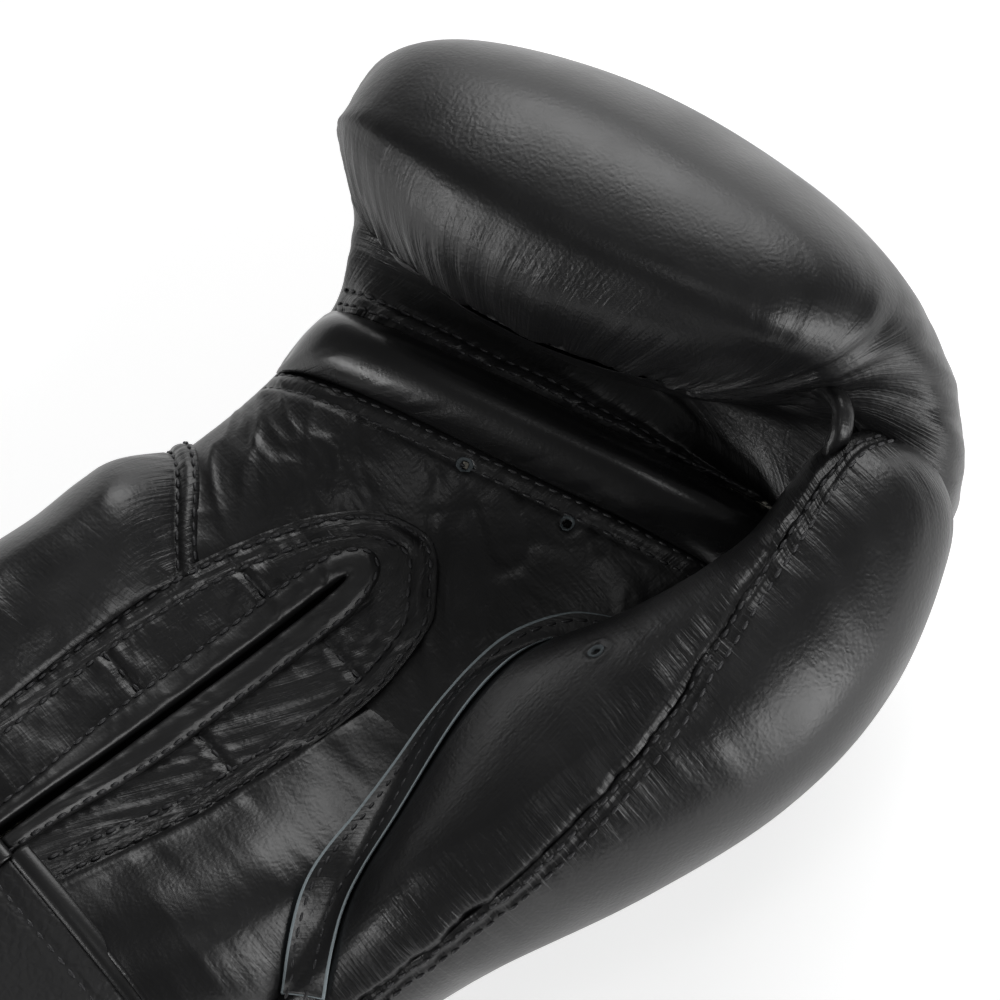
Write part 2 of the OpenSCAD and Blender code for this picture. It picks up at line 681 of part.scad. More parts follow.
// Folded strip over the raw edges at the cuff's mouth
module mouth_binding() {
    angles = steps(90, 450, ring_step);
    e = 2 * mouth_binding_w / cuff_length;
    color([0.05, 0.05, 0.05]) place() soft() difference() {
        slab([[for (a = angles) cavity_point(e, a, -layer_gap - 1)],
                [for (a = angles) cavity_point(0, a, -layer_gap - 1) - [0, layer_gap + 1, 0]],
                [for (a = angles) skin_point(0, a, layer_gap + 1) - [0, layer_gap + 1, 0]],
                [for (a = angles) skin_point(e, a, layer_gap + 1)]],
            [[for (a = angles) cavity_point(e, a, -layer_gap)],
                [for (a = angles) cavity_point(0, a, -layer_gap) - [0, layer_gap, 0]],
                [for (a = angles) skin_point(0, a, layer_gap) - [0, layer_gap, 0]],
                [for (a = angles) skin_point(e, a, layer_gap)]]);
        slit_cut(slit_w);
    }
}

// ---------------------------------------------------------------- strap

// Height of the strap's own underside over the cuff: it climbs on to the tapes
function strap_lift(a) = rest_gap + edging_t
    + (a > tape_a + 24 ? 0 : a < tape_a ? 2 * tape_t : 2 * tape_t * (tape_a + 24 - a) / 24);

module strap_patch(s0, s1, a0, a1, out, in) {
    rows = steps(s0, s1, 0.5);
    angles = steps(a0, a1, 5);
    slab([for (s = rows) [for (a = angles) skin_point(s, a, strap_lift(a) + out)]],
        [for (s = rows) [for (a = angles) skin_point(s, a, strap_lift(a) + in)]]);
}

// Folded edging along both edges of a length of strap, and round its end if it has one
module strap_edging(a0, a1, has_end) {
    grow = 2 * edging_t / cuff_length;
    wide = 2 * edging_w / cuff_length;
    out_a = has_end ? a0 - 1.4 : a0;
    difference() {
        strap_patch(strap_low_s - grow, wrist_s + grow * 0.6, out_a, a1, strap_t + edging_t, -edging_t + 0.1);
        strap_patch(strap_low_s - 0.004, wrist_s + 0.004, has_end ? a0 - 0.3 : a0 - 2, a1 + 2,
            strap_t + 0.2, -0.2);
        strap_patch(strap_low_s + wide, wrist_s - wide, has_end ? a0 + 5 : a0 - 2, a1 + 2, 20, -5);
    }
}

// Thin flat piece on the cuff, fine enough to follow its curve
module cuff_strip(s0, s1, a0, a1, out, in) {
    angles = steps(a0, a1, 5);
    rows = steps(s0, s1, 0.45);
    slab([for (s = rows) [for (a = angles) skin_point(s, a, out)]],
        [for (s = rows) [for (a = angles) skin_point(s, a, in)]]);
}

module loop_tape() {
    color([0.15, 0.15, 0.15]) place()
        cuff_strip(strap_low_s + 0.1, wrist_s - 0.12, end_a, tape_a, loop_top, rest_gap);
}

module hook_tape() {
    color([0.1, 0.1, 0.1]) place()
        cuff_strip(strap_low_s + 0.16, wrist_s - 0.18, end_a + 5, tape_a - 5,
            loop_top + rest_gap + tape_t, loop_top + rest_gap);
}

module strap_root() {
    color([0.05, 0.05, 0.05]) place()
        cuff_strip(strap_low_s, wrist_s - 0.02, flap_hinge_a + 1, root_a, rest_gap + strap_t, rest_gap);
}

module strap_flap() {
    color([0.05, 0.05, 0.05]) place()
        strap_patch(strap_low_s, wrist_s, end_hinge_a + 0.6, flap_hinge_a - 1, strap_t, 0);
}

module flap_edging() {
    color([0.05, 0.05, 0.05]) place() soft() strap_edging(end_hinge_a + 0.6, flap_hinge_a - 1, false);
}

module strap_end() {
    color([0.05, 0.05, 0.05]) place()
        strap_patch(strap_low_s, wrist_s, end_a, end_hinge_a - 0.6, strap_t, 0);
}

module end_edging() {
    color([0.05, 0.05, 0.05]) place() soft() strap_edging(end_a, end_hinge_a - 0.6, true);
}

// ---------------------------------------------------------------- show

mitt_leather();
firm_foam();
soft_foam();
hand_lining();
palm_leather();
palm_foam();
grip_roll_leather();
grip_roll_core();
finger_panel();
slit_facing();
slit_binding();
slit_gusset();
pinky_pad_leather();
pinky_pad_foam();
thumb_pad_leather();
thumb_pad_foam();
thumb_leather();
thumb_foam();
thumb_panel();
thumb_lining();
thumb_seam_band();
thumb_tab();
cuff_leather();
cuff_foam();
cuff_lining();
mouth_binding();
loop_tape();
strap_root();
strap_flap();
flap_edging();
strap_end();
end_edging();
hook_tape();
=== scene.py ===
import math
import bpy
import numpy as np
from mathutils import Matrix, Vector
from mathutils.bvhtree import BVHTree


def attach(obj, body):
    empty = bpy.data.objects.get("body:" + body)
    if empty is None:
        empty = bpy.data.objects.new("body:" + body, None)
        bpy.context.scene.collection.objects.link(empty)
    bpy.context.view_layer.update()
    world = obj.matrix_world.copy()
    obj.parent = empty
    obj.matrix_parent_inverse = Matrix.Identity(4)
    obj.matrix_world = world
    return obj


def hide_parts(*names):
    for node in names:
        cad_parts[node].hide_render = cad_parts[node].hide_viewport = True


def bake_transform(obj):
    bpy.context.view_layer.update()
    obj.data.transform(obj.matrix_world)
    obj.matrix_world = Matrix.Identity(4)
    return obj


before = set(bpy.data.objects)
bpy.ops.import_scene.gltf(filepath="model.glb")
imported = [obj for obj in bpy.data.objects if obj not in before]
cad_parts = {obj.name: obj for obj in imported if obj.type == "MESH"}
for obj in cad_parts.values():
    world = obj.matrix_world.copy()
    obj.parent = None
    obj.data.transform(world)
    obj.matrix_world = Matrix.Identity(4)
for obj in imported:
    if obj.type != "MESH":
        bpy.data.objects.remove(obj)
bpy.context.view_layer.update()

# ---------------------------------------------------------------- mitt leather
# One large piece of smooth cowhide forms the back of the hand, the knuckles and the curled
# fist. It is sewn inside out to the palm and the finger panel, then turned, so its edges are
# drawn in by the seams and gathered where the flat hide has to go round the fist.

GLOVE_MIDDLE = np.array([14.84, 72.07, 0.0])  # from the slit line and the strap's top edge, mm
LEATHER = 1.4  # thickness, mm
INNER_SHARE = 0.3  # share of a crease's height that the hide's inner side follows
HIDE_GAP = 0.4  # room between the hide and the foam under it, mm
BACK_ROUND, PALM_ROUND = 2.3, 3.0  # squareness of the back and of the palm side of a ring
WRIST, SEAM_LOW, SEAM_HIGH, TIP = 2.0, 6.0, 7.0, 14.0  # stations along the hand
BACK_SIDE, PALM_SIDE = 250.0, 90.0  # angles over the back and up the middle of the palm

# y, z, heading, reach to the little finger, reach to the index finger, depth to the back,
# depth to the palm, slant, curve of the slant, hollow of the palm
HAND = np.array([
    [-74, 35, 0, 54, 58, 33.2, 37, 0, 0, 0],
    [-37, 35, 0, 54, 58, 37, 37, 0, 0, 0],
    [0, 35, 0, 54, 58, 37, 37, 0, 0, 0],
    [34, 37, 0, 52, 62, 38, 31, 0, 0, 2.5],
    [72, 35, 0, 51, 60, 37, 30, 0.08, 0, 5],
    [106, 34, 0, 50, 58, 36, 30, 0.27, 0, 5],
    [131, 34, 0, 51, 58, 36, 30, 0.42, 0, 2.5],
    [151, 35, 6, 54, 61, 36, 29, 0.42, 0, 0],
    [172, 42, 42, 64, 68, 34, 25, 0.31, -0.1, 0],
    [186, 64, 90, 76, 71, 31, 22, 0.18, -0.2, 0],
    [178.5, 86, 138, 74.5, 51, 31, 21.5, 0.28, 0.07, 0],
    [166, 93.6, 168, 68, 44, 27, 20.5, 0.39, 0.22, 0],
    [159, 94.1, 178, 66, 40, 20, 19, 0.45, 0.4, 0],
    [153, 92.1, 180, 57, 34, 13, 13, 0.5, 0.53, 0],
    [149.5, 89.6, 180, 45, 24, 2, 2, 0.52, 0.57, 0]], float)


def station(table, s, straight=0.0):
    """Values between a table's rows: in straight lines at first, then on a smooth curve."""
    s = np.asarray(s, float)
    last = len(table) - 1
    i = np.clip(np.floor(s).astype(int), 0, last - 1)
    t = (s - i)[..., None]
    a, b = table[np.maximum(i - 1, 0)], table[i]
    c, d = table[i + 1], table[np.minimum(i + 2, last)]
    curve = 0.5 * (2 * b + (c - a) * t + (2 * a - 5 * b + 4 * c - d) * t * t
                   + (3 * b - a - 3 * c + d) * t ** 3)
    return np.where((s < straight)[..., None], b * (1 - t) + c * t, curve)


def signed_power(v, e):
    return np.sign(v) * np.abs(v) ** e


def ring_point(row, widths, angle, grow=0.0):
    """Point on a rounded ring at an angle: 0 index side, 90 palm, 180 little finger, 270 back."""
    c, n = np.cos(np.radians(angle)), np.sin(np.radians(angle))
    square = 2 / np.where(n < 0, BACK_ROUND, PALM_ROUND)
    across = (np.where(c < 0, widths[..., 0], widths[..., 1]) + grow) * signed_power(c, square)
    dip = np.where(n > 0, row[..., 9] * bell(across - 6, 26), 0)
    deep = (np.where(n < 0, widths[..., 2], widths[..., 3]) + grow) * signed_power(n, square) - dip
    heading = np.radians(row[..., 2])
    return np.stack([
        across,
        row[..., 0] - deep * np.sin(heading) + row[..., 7] * across + row[..., 8] * across ** 2 / 100,
        row[..., 1] + deep * np.cos(heading)], -1)


def hand_point(s, angle):
    s, angle = np.broadcast_arrays(np.asarray(s, float), np.asarray(angle, float))
    row = station(HAND, s, WRIST)
    return ring_point(row, row[..., 3:7], angle)


def unit(v):
    return v / np.maximum(np.linalg.norm(v, axis=-1, keepdims=True), 1e-9)


def hand_normal(s, angle):
    s, angle = np.broadcast_arrays(np.asarray(s, float), np.asarray(angle, float))
    along = hand_point(np.minimum(s + 0.05, TIP), angle) - hand_point(np.maximum(s - 0.05, 0), angle)
    return unit(np.cross(along, hand_point(s, angle + 2) - hand_point(s, angle - 2)))


def hand_skin(s, angle, off=0.0, floor=0.0):
    """Point off mm over the hand's form, pressed flat where it would go through the floor."""
    off = np.asarray(off, float)
    p = hand_point(s, angle) + off[..., None] * hand_normal(s, angle)
    low = np.maximum(floor, -off)
    rise = p[..., 2] - low
    p[..., 2] = low + 0.5 * (rise + np.sqrt(rise ** 2 + 0.36))
    return p


def even(curve, lo, hi, count):
    """Values between lo and hi at which the curve's points are evenly spaced."""
    t = np.linspace(lo, hi, 1200)
    p = curve(t)
    run = np.r_[0, np.cumsum(np.linalg.norm(np.diff(p, axis=0), axis=1))]
    return np.interp(np.linspace(0, run[-1], count), run, t)


def lattice(x, y, seed):
    """Smooth seeded noise between -1 and 1 with one bump to each unit."""
    table = np.random.default_rng(seed).uniform(-1, 1, (64, 64))
    x, y = np.broadcast_arrays(np.asarray(x, float), np.asarray(y, float))
    i, j = np.floor(x).astype(int), np.floor(y).astype(int)
    u, v = x - i, y - j
    u, v = u * u * (3 - 2 * u), v * v * (3 - 2 * v)
    a, b = table[i % 64, j % 64], table[(i + 1) % 64, j % 64]
    c, d = table[i % 64, (j + 1) % 64], table[(i + 1) % 64, (j + 1) % 64]
    return (a * (1 - u) + b * u) * (1 - v) + (c * (1 - u) + d * u) * v


def folds(t, d, width, reach, seed, wander=1.5):
    """Gathers drawn in by a seam: t runs along the seam, d away from it, both in mm."""
    bent = t + wander * lattice(t / 23, d / 17, seed)
    length = reach * (0.55 + 0.6 * np.abs(lattice(bent / (width * 1.6), 0 * d, seed + 1)))
    wave = lattice(bent / width, d / (reach * 1.3), seed + 2) \
        + 0.55 * lattice(bent / (width * 0.47), d / (reach * 0.8), seed + 3)
    return wave * np.exp(-(d / length) ** 1.5)


def bell(v, width):
    """1 at 0, falling off to nothing over about twice the width."""
    return np.exp(-(v / width) ** 2)


def spread_out(rows, columns):
    return np.meshgrid(rows, columns, indexing="ij")


def ramp(v, lo, hi):
    """0 below lo, 1 above hi, and an even S-curve between them."""
    t = np.clip((np.asarray(v, float) - lo) / (hi - lo), 0, 1)
    return t * t * (3 - 2 * t)


def distances(grid):
    """Lengths in mm along the rows and along the columns of a grid of points."""
    down = np.linalg.norm(np.diff(grid, axis=0), axis=2)
    over = np.linalg.norm(np.diff(grid, axis=1), axis=2)
    v = np.vstack([np.zeros((1, grid.shape[1])), np.cumsum(down, 0)])
    u = np.hstack([np.zeros((grid.shape[0], 1)), np.cumsum(over, 1)])
    return u, v


def to_frame(points):
    """Points in mm, in metres from the frame's origin."""
    return (np.asarray(points, float) - GLOVE_MIDDLE) * 0.001


def put(name, data):
    made = bpy.data.objects.new(name, data)
    bpy.context.scene.collection.objects.link(made)
    return made


def shell(name, outer, inner, keep=None, uv=None, gather=None, wrap=False):
    """Closed sheet of leather between two grids of points, without the cells not kept."""
    rows, cols = outer.shape[:2]
    wide = cols if wrap else cols - 1
    half = rows * cols
    index = np.arange(half).reshape(rows, cols)
    near = np.roll(index, -1, 1)[:, :wide] if wrap else index[:, 1:]
    a, b = index[:-1, :wide], near[:-1]
    c, d = near[1:], index[1:, :wide]
    keep = np.ones(a.shape, bool) if keep is None else keep
    quads = [np.stack([a, b, c, d], -1)[keep][:, ::-1], np.stack([a, b, c, d], -1)[keep] + half]

    def walls(edge_a, edge_b, here, there):
        # a wall stands on each edge between a kept cell and one that isn't kept
        on, off = here & ~there, there & ~here
        for pick, flip in ((on, False), (off, True)):
            p, q = edge_a[pick], edge_b[pick]
            p, q = (q, p) if flip else (p, q)
            quads.append(np.stack([p, q, q + half, p + half], -1))

    blank_row, blank_col = np.zeros((1, wide), bool), np.zeros((rows - 1, 1), bool)
    up, down = np.vstack([blank_row, keep]), np.vstack([keep, blank_row])
    walls(index[:, :wide], near, down, up)
    if wrap:
        left, right = np.roll(keep, 1, 1), keep
        walls(index[1:], index[:-1], right, left)
    else:
        left, right = np.hstack([blank_col, keep]), np.hstack([keep, blank_col])
        walls(index[1:], index[:-1], right, left)
    faces = np.vstack(quads)
    points = to_frame(np.vstack([outer.reshape(-1, 3), inner.reshape(-1, 3)]))
    used = np.unique(faces)
    renumber = np.full(2 * half, -1)
    renumber[used] = np.arange(len(used))
    mesh = bpy.data.meshes.new("sewn_" + name)
    mesh.from_pydata(points[used].tolist(), [], renumber[faces].tolist())
    if uv is not None:
        flat = np.vstack([np.stack(uv, -1).reshape(-1, 2)] * 2)[used] * 0.001
        layer = mesh.uv_layers.new(name="hide")
        corner = np.zeros(len(mesh.loops), np.int32)
        mesh.loops.foreach_get("vertex_index", corner)
        layer.data.foreach_set("uv", flat[corner].ravel().astype(np.float32))
    if gather is not None:
        for key, value in zip(("gather_long", "gather_cross"), gather):
            flat = np.concatenate([np.broadcast_to(value, (rows, cols)).ravel()] * 2)[used]
            field = mesh.attributes.new(key, "FLOAT", "POINT")
            field.data.foreach_set("value", flat.astype(np.float32))
    mesh.shade_smooth()
    return put("sewn_" + name, mesh)


def grid_normals(grid):
    return unit(np.cross(np.gradient(grid, axis=0), np.gradient(grid, axis=1)))


seam_lines = {}  # points and upward directions of every seam, by group


def seam(group, grid, field, d, axis, keep=None):
    """Notes a line for stitches: where the distance field over a grid reaches d mm."""
    if axis == 1:
        grid, field = grid.transpose(1, 0, 2), field.T
        keep = None if keep is None else keep.T
    normal = grid_normals(grid) * (-1 if axis == 1 else 1)
    steps = np.arange(len(grid))
    points, ups = [], []
    for j in range(grid.shape[1]):
        column = field[:, j]
        order = slice(None) if column[-1] > column[0] else slice(None, None, -1)
        at = np.interp(d, column[order], steps[order])
        i = min(int(at), len(grid) - 2)
        t = at - i
        if keep is None or keep[min(i, keep.shape[0] - 1), min(j, keep.shape[1] - 1)]:
            points.append(grid[i, j] * (1 - t) + grid[i + 1, j] * t)
            ups.append(normal[i, j])
    seam_lines.setdefault(group, []).append((np.array(points), np.array(ups)))


def node(tree, kind, **settings):
    made = tree.nodes.new(kind)
    for key, value in settings.items():
        if key in made.inputs:
            made.inputs[key].default_value = value
        else:
            setattr(made, key, value)
    return made


def new_finish(name, **settings):
    """A new material, its tree and its shader with the given values."""
    material = bpy.data.materials.new(name)
    material.use_nodes = True
    shader = material.node_tree.nodes["Principled BSDF"]
    for key, value in settings.items():
        shader.inputs[key.replace("_", " ")].default_value = value
    return material, material.node_tree, shader


def two_tones(tree, share, dark, light, shader):
    """Lets the base colour go from dark to light with a value."""
    tone = node(tree, "ShaderNodeMix", data_type="RGBA")
    tone.inputs["A"].default_value = (*dark, 1)
    tone.inputs["B"].default_value = (*light, 1)
    tree.links.new(share, tone.inputs["Factor"])
    tree.links.new(tone.outputs["Result"], shader.inputs["Base Color"])


def raised(tree, height, depth, target, below=None):
    """Lets a value stand up from the surface by a depth in metres."""
    bump = node(tree, "ShaderNodeBump", Strength=1.0, Distance=depth)
    tree.links.new(height, bump.inputs["Height"])
    if below is not None:
        tree.links.new(below.outputs["Normal"], bump.inputs["Normal"])
    if target is not None:
        tree.links.new(bump.outputs["Normal"], target.inputs["Normal"])
    return bump


def leather(name, colour, rough, grain, grain_size, crease):
    """Finished cowhide: a grain of small cells, fine creases along the gathers, worn sheen."""
    material, tree, shader = new_finish(name, Specular_IOR_Level=0.5)
    link = tree.links.new
    place = node(tree, "ShaderNodeTexCoord")
    # patches where the dye and the polish differ a little
    patches = node(tree, "ShaderNodeTexNoise", Scale=38.0, Detail=5.0, Roughness=0.6)
    link(place.outputs["Object"], patches.inputs["Vector"])
    two_tones(tree, patches.outputs["Fac"], colour, [min(1.0, c * 1.5 + 0.002) for c in colour],
              shader)
    # pores and cells of the grain
    cells = node(tree, "ShaderNodeTexVoronoi", feature="SMOOTH_F1", Scale=1000 / grain_size,
                 Smoothness=0.6, Randomness=1.0)
    warp = node(tree, "ShaderNodeTexNoise", Scale=260.0, Detail=2.0)
    shift = node(tree, "ShaderNodeVectorMath", operation="MULTIPLY_ADD")
    shift.inputs[1].default_value = (0.0016, 0.0016, 0.0016)
    link(place.outputs["Object"], warp.inputs["Vector"])
    link(warp.outputs["Color"], shift.inputs[0])
    link(place.outputs["Object"], shift.inputs[2])
    link(shift.outputs["Vector"], cells.inputs["Vector"])
    # soft cracks of the hide, all over
    cracks = node(tree, "ShaderNodeTexVoronoi", feature="DISTANCE_TO_EDGE", Scale=520.0)
    link(shift.outputs["Vector"], cracks.inputs["Vector"])
    crack_depth = node(tree, "ShaderNodeMapRange")
    crack_depth.inputs["From Max"].default_value = 0.3
    link(cracks.outputs["Distance"], crack_depth.inputs["Value"])
    # fine lines that run with the gathers, once along the piece and once across it
    hide = node(tree, "ShaderNodeUVMap", uv_map="hide")
    sums = None
    for key, stretch in (("gather_long", (950, 75, 1)), ("gather_cross", (75, 950, 1))):
        scale = node(tree, "ShaderNodeMapping")
        scale.inputs["Scale"].default_value = stretch
        lines = node(tree, "ShaderNodeTexNoise", Scale=1.0, Detail=3.0, Roughness=0.55,
                     Distortion=0.35)
        amount = node(tree, "ShaderNodeAttribute", attribute_name=key)
        part = node(tree, "ShaderNodeMath", operation="MULTIPLY")
        link(hide.outputs["UV"], scale.inputs["Vector"])
        link(scale.outputs["Vector"], lines.inputs["Vector"])
        link(lines.outputs["Fac"], part.inputs[0])
        link(amount.outputs["Fac"], part.inputs[1])
        if sums is None:
            sums = part
        else:
            add = node(tree, "ShaderNodeMath", operation="ADD")
            link(sums.outputs[0], add.inputs[0])
            link(part.outputs[0], add.inputs[1])
            sums = add
    # roughness: polish wears in patches
    wear = node(tree, "ShaderNodeMapRange")
    wear.inputs["From Min"].default_value = 0.3
    wear.inputs["From Max"].default_value = 0.7
    wear.inputs["To Min"].default_value = rough - 0.06
    wear.inputs["To Max"].default_value = rough + 0.09
    link(patches.outputs["Fac"], wear.inputs["Value"])
    link(wear.outputs["Result"], shader.inputs["Roughness"])
    cell_bump = raised(tree, cells.outputs["Distance"], grain, None)
    crack_bump = raised(tree, crack_depth.outputs["Result"], grain * 0.3, None, cell_bump)
    raised(tree, sums.outputs[0], crease, shader, crack_bump)
    return material


def dress(piece, material, stands_for, body="glove"):
    """Gives a finished piece its material, hides the part it stands for and puts it on the body that
    carries it.
    """
    piece.data.materials.append(material)
    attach(piece, body)
    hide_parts(stands_for)


glove_leather = leather("black cowhide", (0.006, 0.006, 0.0064), 0.35, 0.00004, 0.9, 0.0003)

TAB_CORNER = np.array([47.0, 184.0, 88.0])
KNUCKLES = 9.0  # station where the mitt is widest
MITT_FROM, MITT_TO = 164.5, 375.5  # angles of the mitt's seams, past the back of the hand
mitt_s = np.r_[even(lambda t: hand_point(t, BACK_SIDE), WRIST, SEAM_HIGH, 70)[:-1],
               even(lambda t: hand_point(t, BACK_SIDE), SEAM_HIGH, TIP, 170)]
mitt_a = even(lambda t: hand_point(KNUCKLES, t), MITT_FROM, MITT_TO, 190)
S, A = spread_out(mitt_s, mitt_a)
flat_mitt = hand_point(S, A)
across, along = distances(flat_mitt)
to_tip = along[-1:] - along
to_index = across[:, -1:] - across
to_pinky = across
at_tip = np.broadcast_to(across[int(len(mitt_s) * 0.8)], across.shape)

lift = 0.55 * lattice(at_tip / 34, along / 40, 11) * ramp(np.minimum(to_index, to_pinky), 0, 40)
lift += 0.55 * folds(at_tip, to_tip, 4.2, 21, 21) * ramp(S, 10.2, 11.6)
lift += 0.25 * folds(at_tip, to_tip, 9.0, 34, 31) * ramp(S, 10.2, 11.6)
pleats = ramp(S, 7.2, 9.2)
lift += (0.9 * folds(along, to_index, 7.5, 30, 41)
         + 0.5 * folds(along, to_index, 3.2, 17, 45)) * pleats
lift += 0.45 * folds(along, to_pinky, 6.0, 16, 51) * ramp(S, 6.5, 8.0)
lift += 0.22 * folds(along, np.minimum(to_index, to_pinky), 7.0, 12, 61) * (1 - ramp(S, 6.5, 8.0))
# deep pleats spread from the corner where the thumb's tab pulls on the fist
from_tab = flat_mitt - TAB_CORNER
spread = np.hypot(from_tab[..., 0], from_tab[..., 1])
swing = np.arctan2(from_tab[..., 1], from_tab[..., 0])
swing = swing + 0.1 * lattice(spread / 14, from_tab[..., 2] / 18, 62)
rays = lattice(swing * 5.5, spread / 40, 63) + 0.45 * lattice(swing * 11, spread / 40, 64)
rays = 1.25 * rays * ramp(spread, 9, 20) * (1 - ramp(spread, 26, 58))
lift += rays * ramp(S, 8.6, 9.6) * ramp(from_tab[..., 0], -14, 6)
edge = np.minimum(np.minimum(to_index, to_pinky), to_tip)
lift -= 1.4 * bell(edge, 1.6)
lift *= ramp(along, 0, 6)

mitt_leather = shell("mitt_leather", hand_skin(S, A, lift),
                     hand_skin(S, A, lift * INNER_SHARE - LEATHER), uv=(at_tip, along),
                     gather=(bell(to_tip, 24) * ramp(S, 10.0, 11.5),
                             bell(to_index, 30) * pleats + bell(to_pinky, 14)))
dress(mitt_leather, glove_leather, "mitt_leather")

# ---------------------------------------------------------------- palm leather
# The palm is one panel of the same hide, split up the middle so that the hand can get in. It
# lies slack over thin foam, so it creases across the hand, and it has two punched vents.

SLIT_WIDTH, SLIT_LENGTH = 3.0, 92.0
VENTS = [(-3.0, 125.5), (21.0, 133.5)]
VENT_RADIUS = 1.1
PALM_HALF = 58.0  # width of the palm to each side of the slit, mm
PALM_ROWS, PANEL_ROWS = (1.9, 5.5), (1.8, 5.0)  # stitch rows, mm from the grip roll's edges


def vent_dish(away):
    """Rise and hollow of the hide round a punched hole."""
    return 0.3 * bell(away - 2.2, 0.8) - 0.8 * bell(away, 1.6)


def palm_angle(s, x):
    """Angle round the hand at which the palm side lies at x."""
    row = station(HAND, s, WRIST)
    share = np.clip(np.abs(x) / np.where(x < 0, row[..., 3], row[..., 4]), 0, 0.9999)
    bend = np.degrees(np.arccos(share ** (PALM_ROUND / 2)))
    return np.where(x < 0, 180 - bend, bend)


def palm_station(x, y):
    """Station at which the palm side passes over x and y, seen from above."""
    x, y = np.broadcast_arrays(np.asarray(x, float), np.asarray(y, float))
    lo, hi = np.full(x.shape, WRIST - 1.0), np.full(x.shape, 7.6)
    for _ in range(30):
        mid = (lo + hi) / 2
        over = hand_point(mid, palm_angle(mid, x))[..., 1] > y
        hi, lo = np.where(over, mid, hi), np.where(over, lo, mid)
    return (lo + hi) / 2


def palm_wrinkles(x, y):
    """Height of the slack creases of the palm, in mm."""
    h = 0.35 * lattice(x / 21, y / 26, 71)
    # long creases that run down from the little finger side to the middle
    for turn, wide, tall, amount, seed in ((-34, 19, 5.2, 0.75, 72), (-18, 24, 4.0, 0.5, 74),
                                           (28, 16, 4.4, 0.35, 76)):
        c, n = math.cos(math.radians(turn)), math.sin(math.radians(turn))
        u, v = x * c + y * n, -x * n + y * c
        v = v + 2.5 * lattice(u / 17, v / 13, seed)
        ridge = 1 - np.abs(lattice(u / wide, v / tall, seed + 1)) * 2.2
        where = 0.5 + 0.5 * lattice(x / 18, y / 18, seed + 2)
        h += amount * np.clip(ridge, 0, 1) ** 2 * where
    return h * (0.35 + 0.65 * ramp(y - 0.42 * x, 40, 90))


half_slit = SLIT_WIDTH / 2
middle = np.r_[np.linspace(-PALM_HALF, -half_slit, 58)[:-1],
               np.linspace(-half_slit, half_slit, 4)[:-1], np.linspace(half_slit, PALM_HALF, 58)]
palm_s = even(lambda t: hand_point(t, PALM_SIDE), WRIST, SEAM_LOW + 0.045, 134)
S, X = spread_out(palm_s, middle / PALM_HALF)
row = station(HAND, S, WRIST)
reach = np.where(X < 0, row[..., 3], row[..., 4]) * 0.976
X = X * PALM_HALF + (reach - PALM_HALF) * np.sign(X) * ramp(np.abs(X) * PALM_HALF, 20, PALM_HALF)
A = palm_angle(S, X)
flat_palm = hand_point(S, A)
across, along = distances(flat_palm)
to_seam = along[-1:] - along
lift = palm_wrinkles(X, flat_palm[..., 1])
lift += 0.35 * folds(X, to_seam, 4.5, 9, 81)
sides = np.minimum(across, across[:, -1:] - across)
lift *= ramp(sides, 0, 8) * ramp(to_seam, 0, 3)
lift -= 1.1 * bell(np.minimum(sides, to_seam), 1.6)
lift -= 0.7 * bell(to_seam - 5.5, 0.9)
for vx, vy in VENTS:
    lift += vent_dish(np.hypot(X - vx, flat_palm[..., 1] - vy))
cell_x = (X[:-1, :-1] + X[1:, 1:]) / 2
cell_y = (flat_palm[:-1, :-1, 1] + flat_palm[1:, 1:, 1]) / 2
keep = ~((np.abs(cell_x) < half_slit) & (cell_y < SLIT_LENGTH))
for vx, vy in VENTS:
    keep &= np.hypot(cell_x - vx, cell_y - vy) > VENT_RADIUS
over = hand_skin(S, A, lift)
for d in PALM_ROWS:
    seam("palm", over, to_seam, d, 0)
palm_leather = shell("palm_leather", over, hand_skin(S, A, lift * INNER_SHARE - LEATHER), keep,
                     uv=(X, along), gather=(bell(to_seam, 9) * 0.8, 0.25))
dress(palm_leather, glove_leather, "palm_leather")

# ---------------------------------------------------------------- finger panel
# The inner side of the fist's bend, under the finger tips: a panel of the same hide, gathered
# on to the fist's edge all round and joined to the grip roll by a double seam.

panel_s = even(lambda t: hand_point(t, PALM_SIDE), SEAM_HIGH + 0.015, TIP, 120)
panel_a = even(lambda t: hand_point(8.0, t), 15.8, 164.6, 130)
S, A = spread_out(panel_s, panel_a)
across, along = distances(hand_point(S, A))
sides = np.minimum(across, across[:, -1:] - across)
lift = 0.7 * folds(across, along, 6.5, 22, 91) + 0.4 * folds(across, along, 2.8, 10, 95)
lift += 0.7 * folds(along, sides, 5.5, 22, 101)
lift += 0.5 * lattice(across / 11, along / 16, 103)
lift *= ramp(sides, 0, 5)
lift -= 1.7 * bell(along[-1:] - along, 6)
lift -= 1.1 * bell(np.minimum(sides, along), 1.6)
lift -= 0.6 * bell(along - 5.0, 0.9)
over = hand_skin(S, A, lift)
for d in PANEL_ROWS:
    seam("palm", over, along, d, 0)
finger_panel = shell("finger_panel", over, hand_skin(S, A, lift * INNER_SHARE - LEATHER),
                     uv=(across, along), gather=(bell(along, 22), bell(sides, 22)))
dress(finger_panel, glove_leather, "finger_panel")

# ---------------------------------------------------------------- grip roll
# A tight roll of hide round a foam core lies across the palm under the fingers. Stretched
# over its core it is the smoothest and shiniest leather of the palm.

ROLL_HEIGHT = 9.0


def roll_swell(s, angle):
    """Share of the roll's height: full in the middle, lower towards its little finger end."""
    long_way = np.sin(np.pi * np.clip(s - SEAM_LOW, 0, 1))
    round_way = np.sin(np.radians(180 * np.clip((angle - 15) / 150, 0, 1)))
    return long_way ** 0.6 * round_way ** 0.35 * (0.35 + 0.65 * ramp(165 - angle, 0, 34))


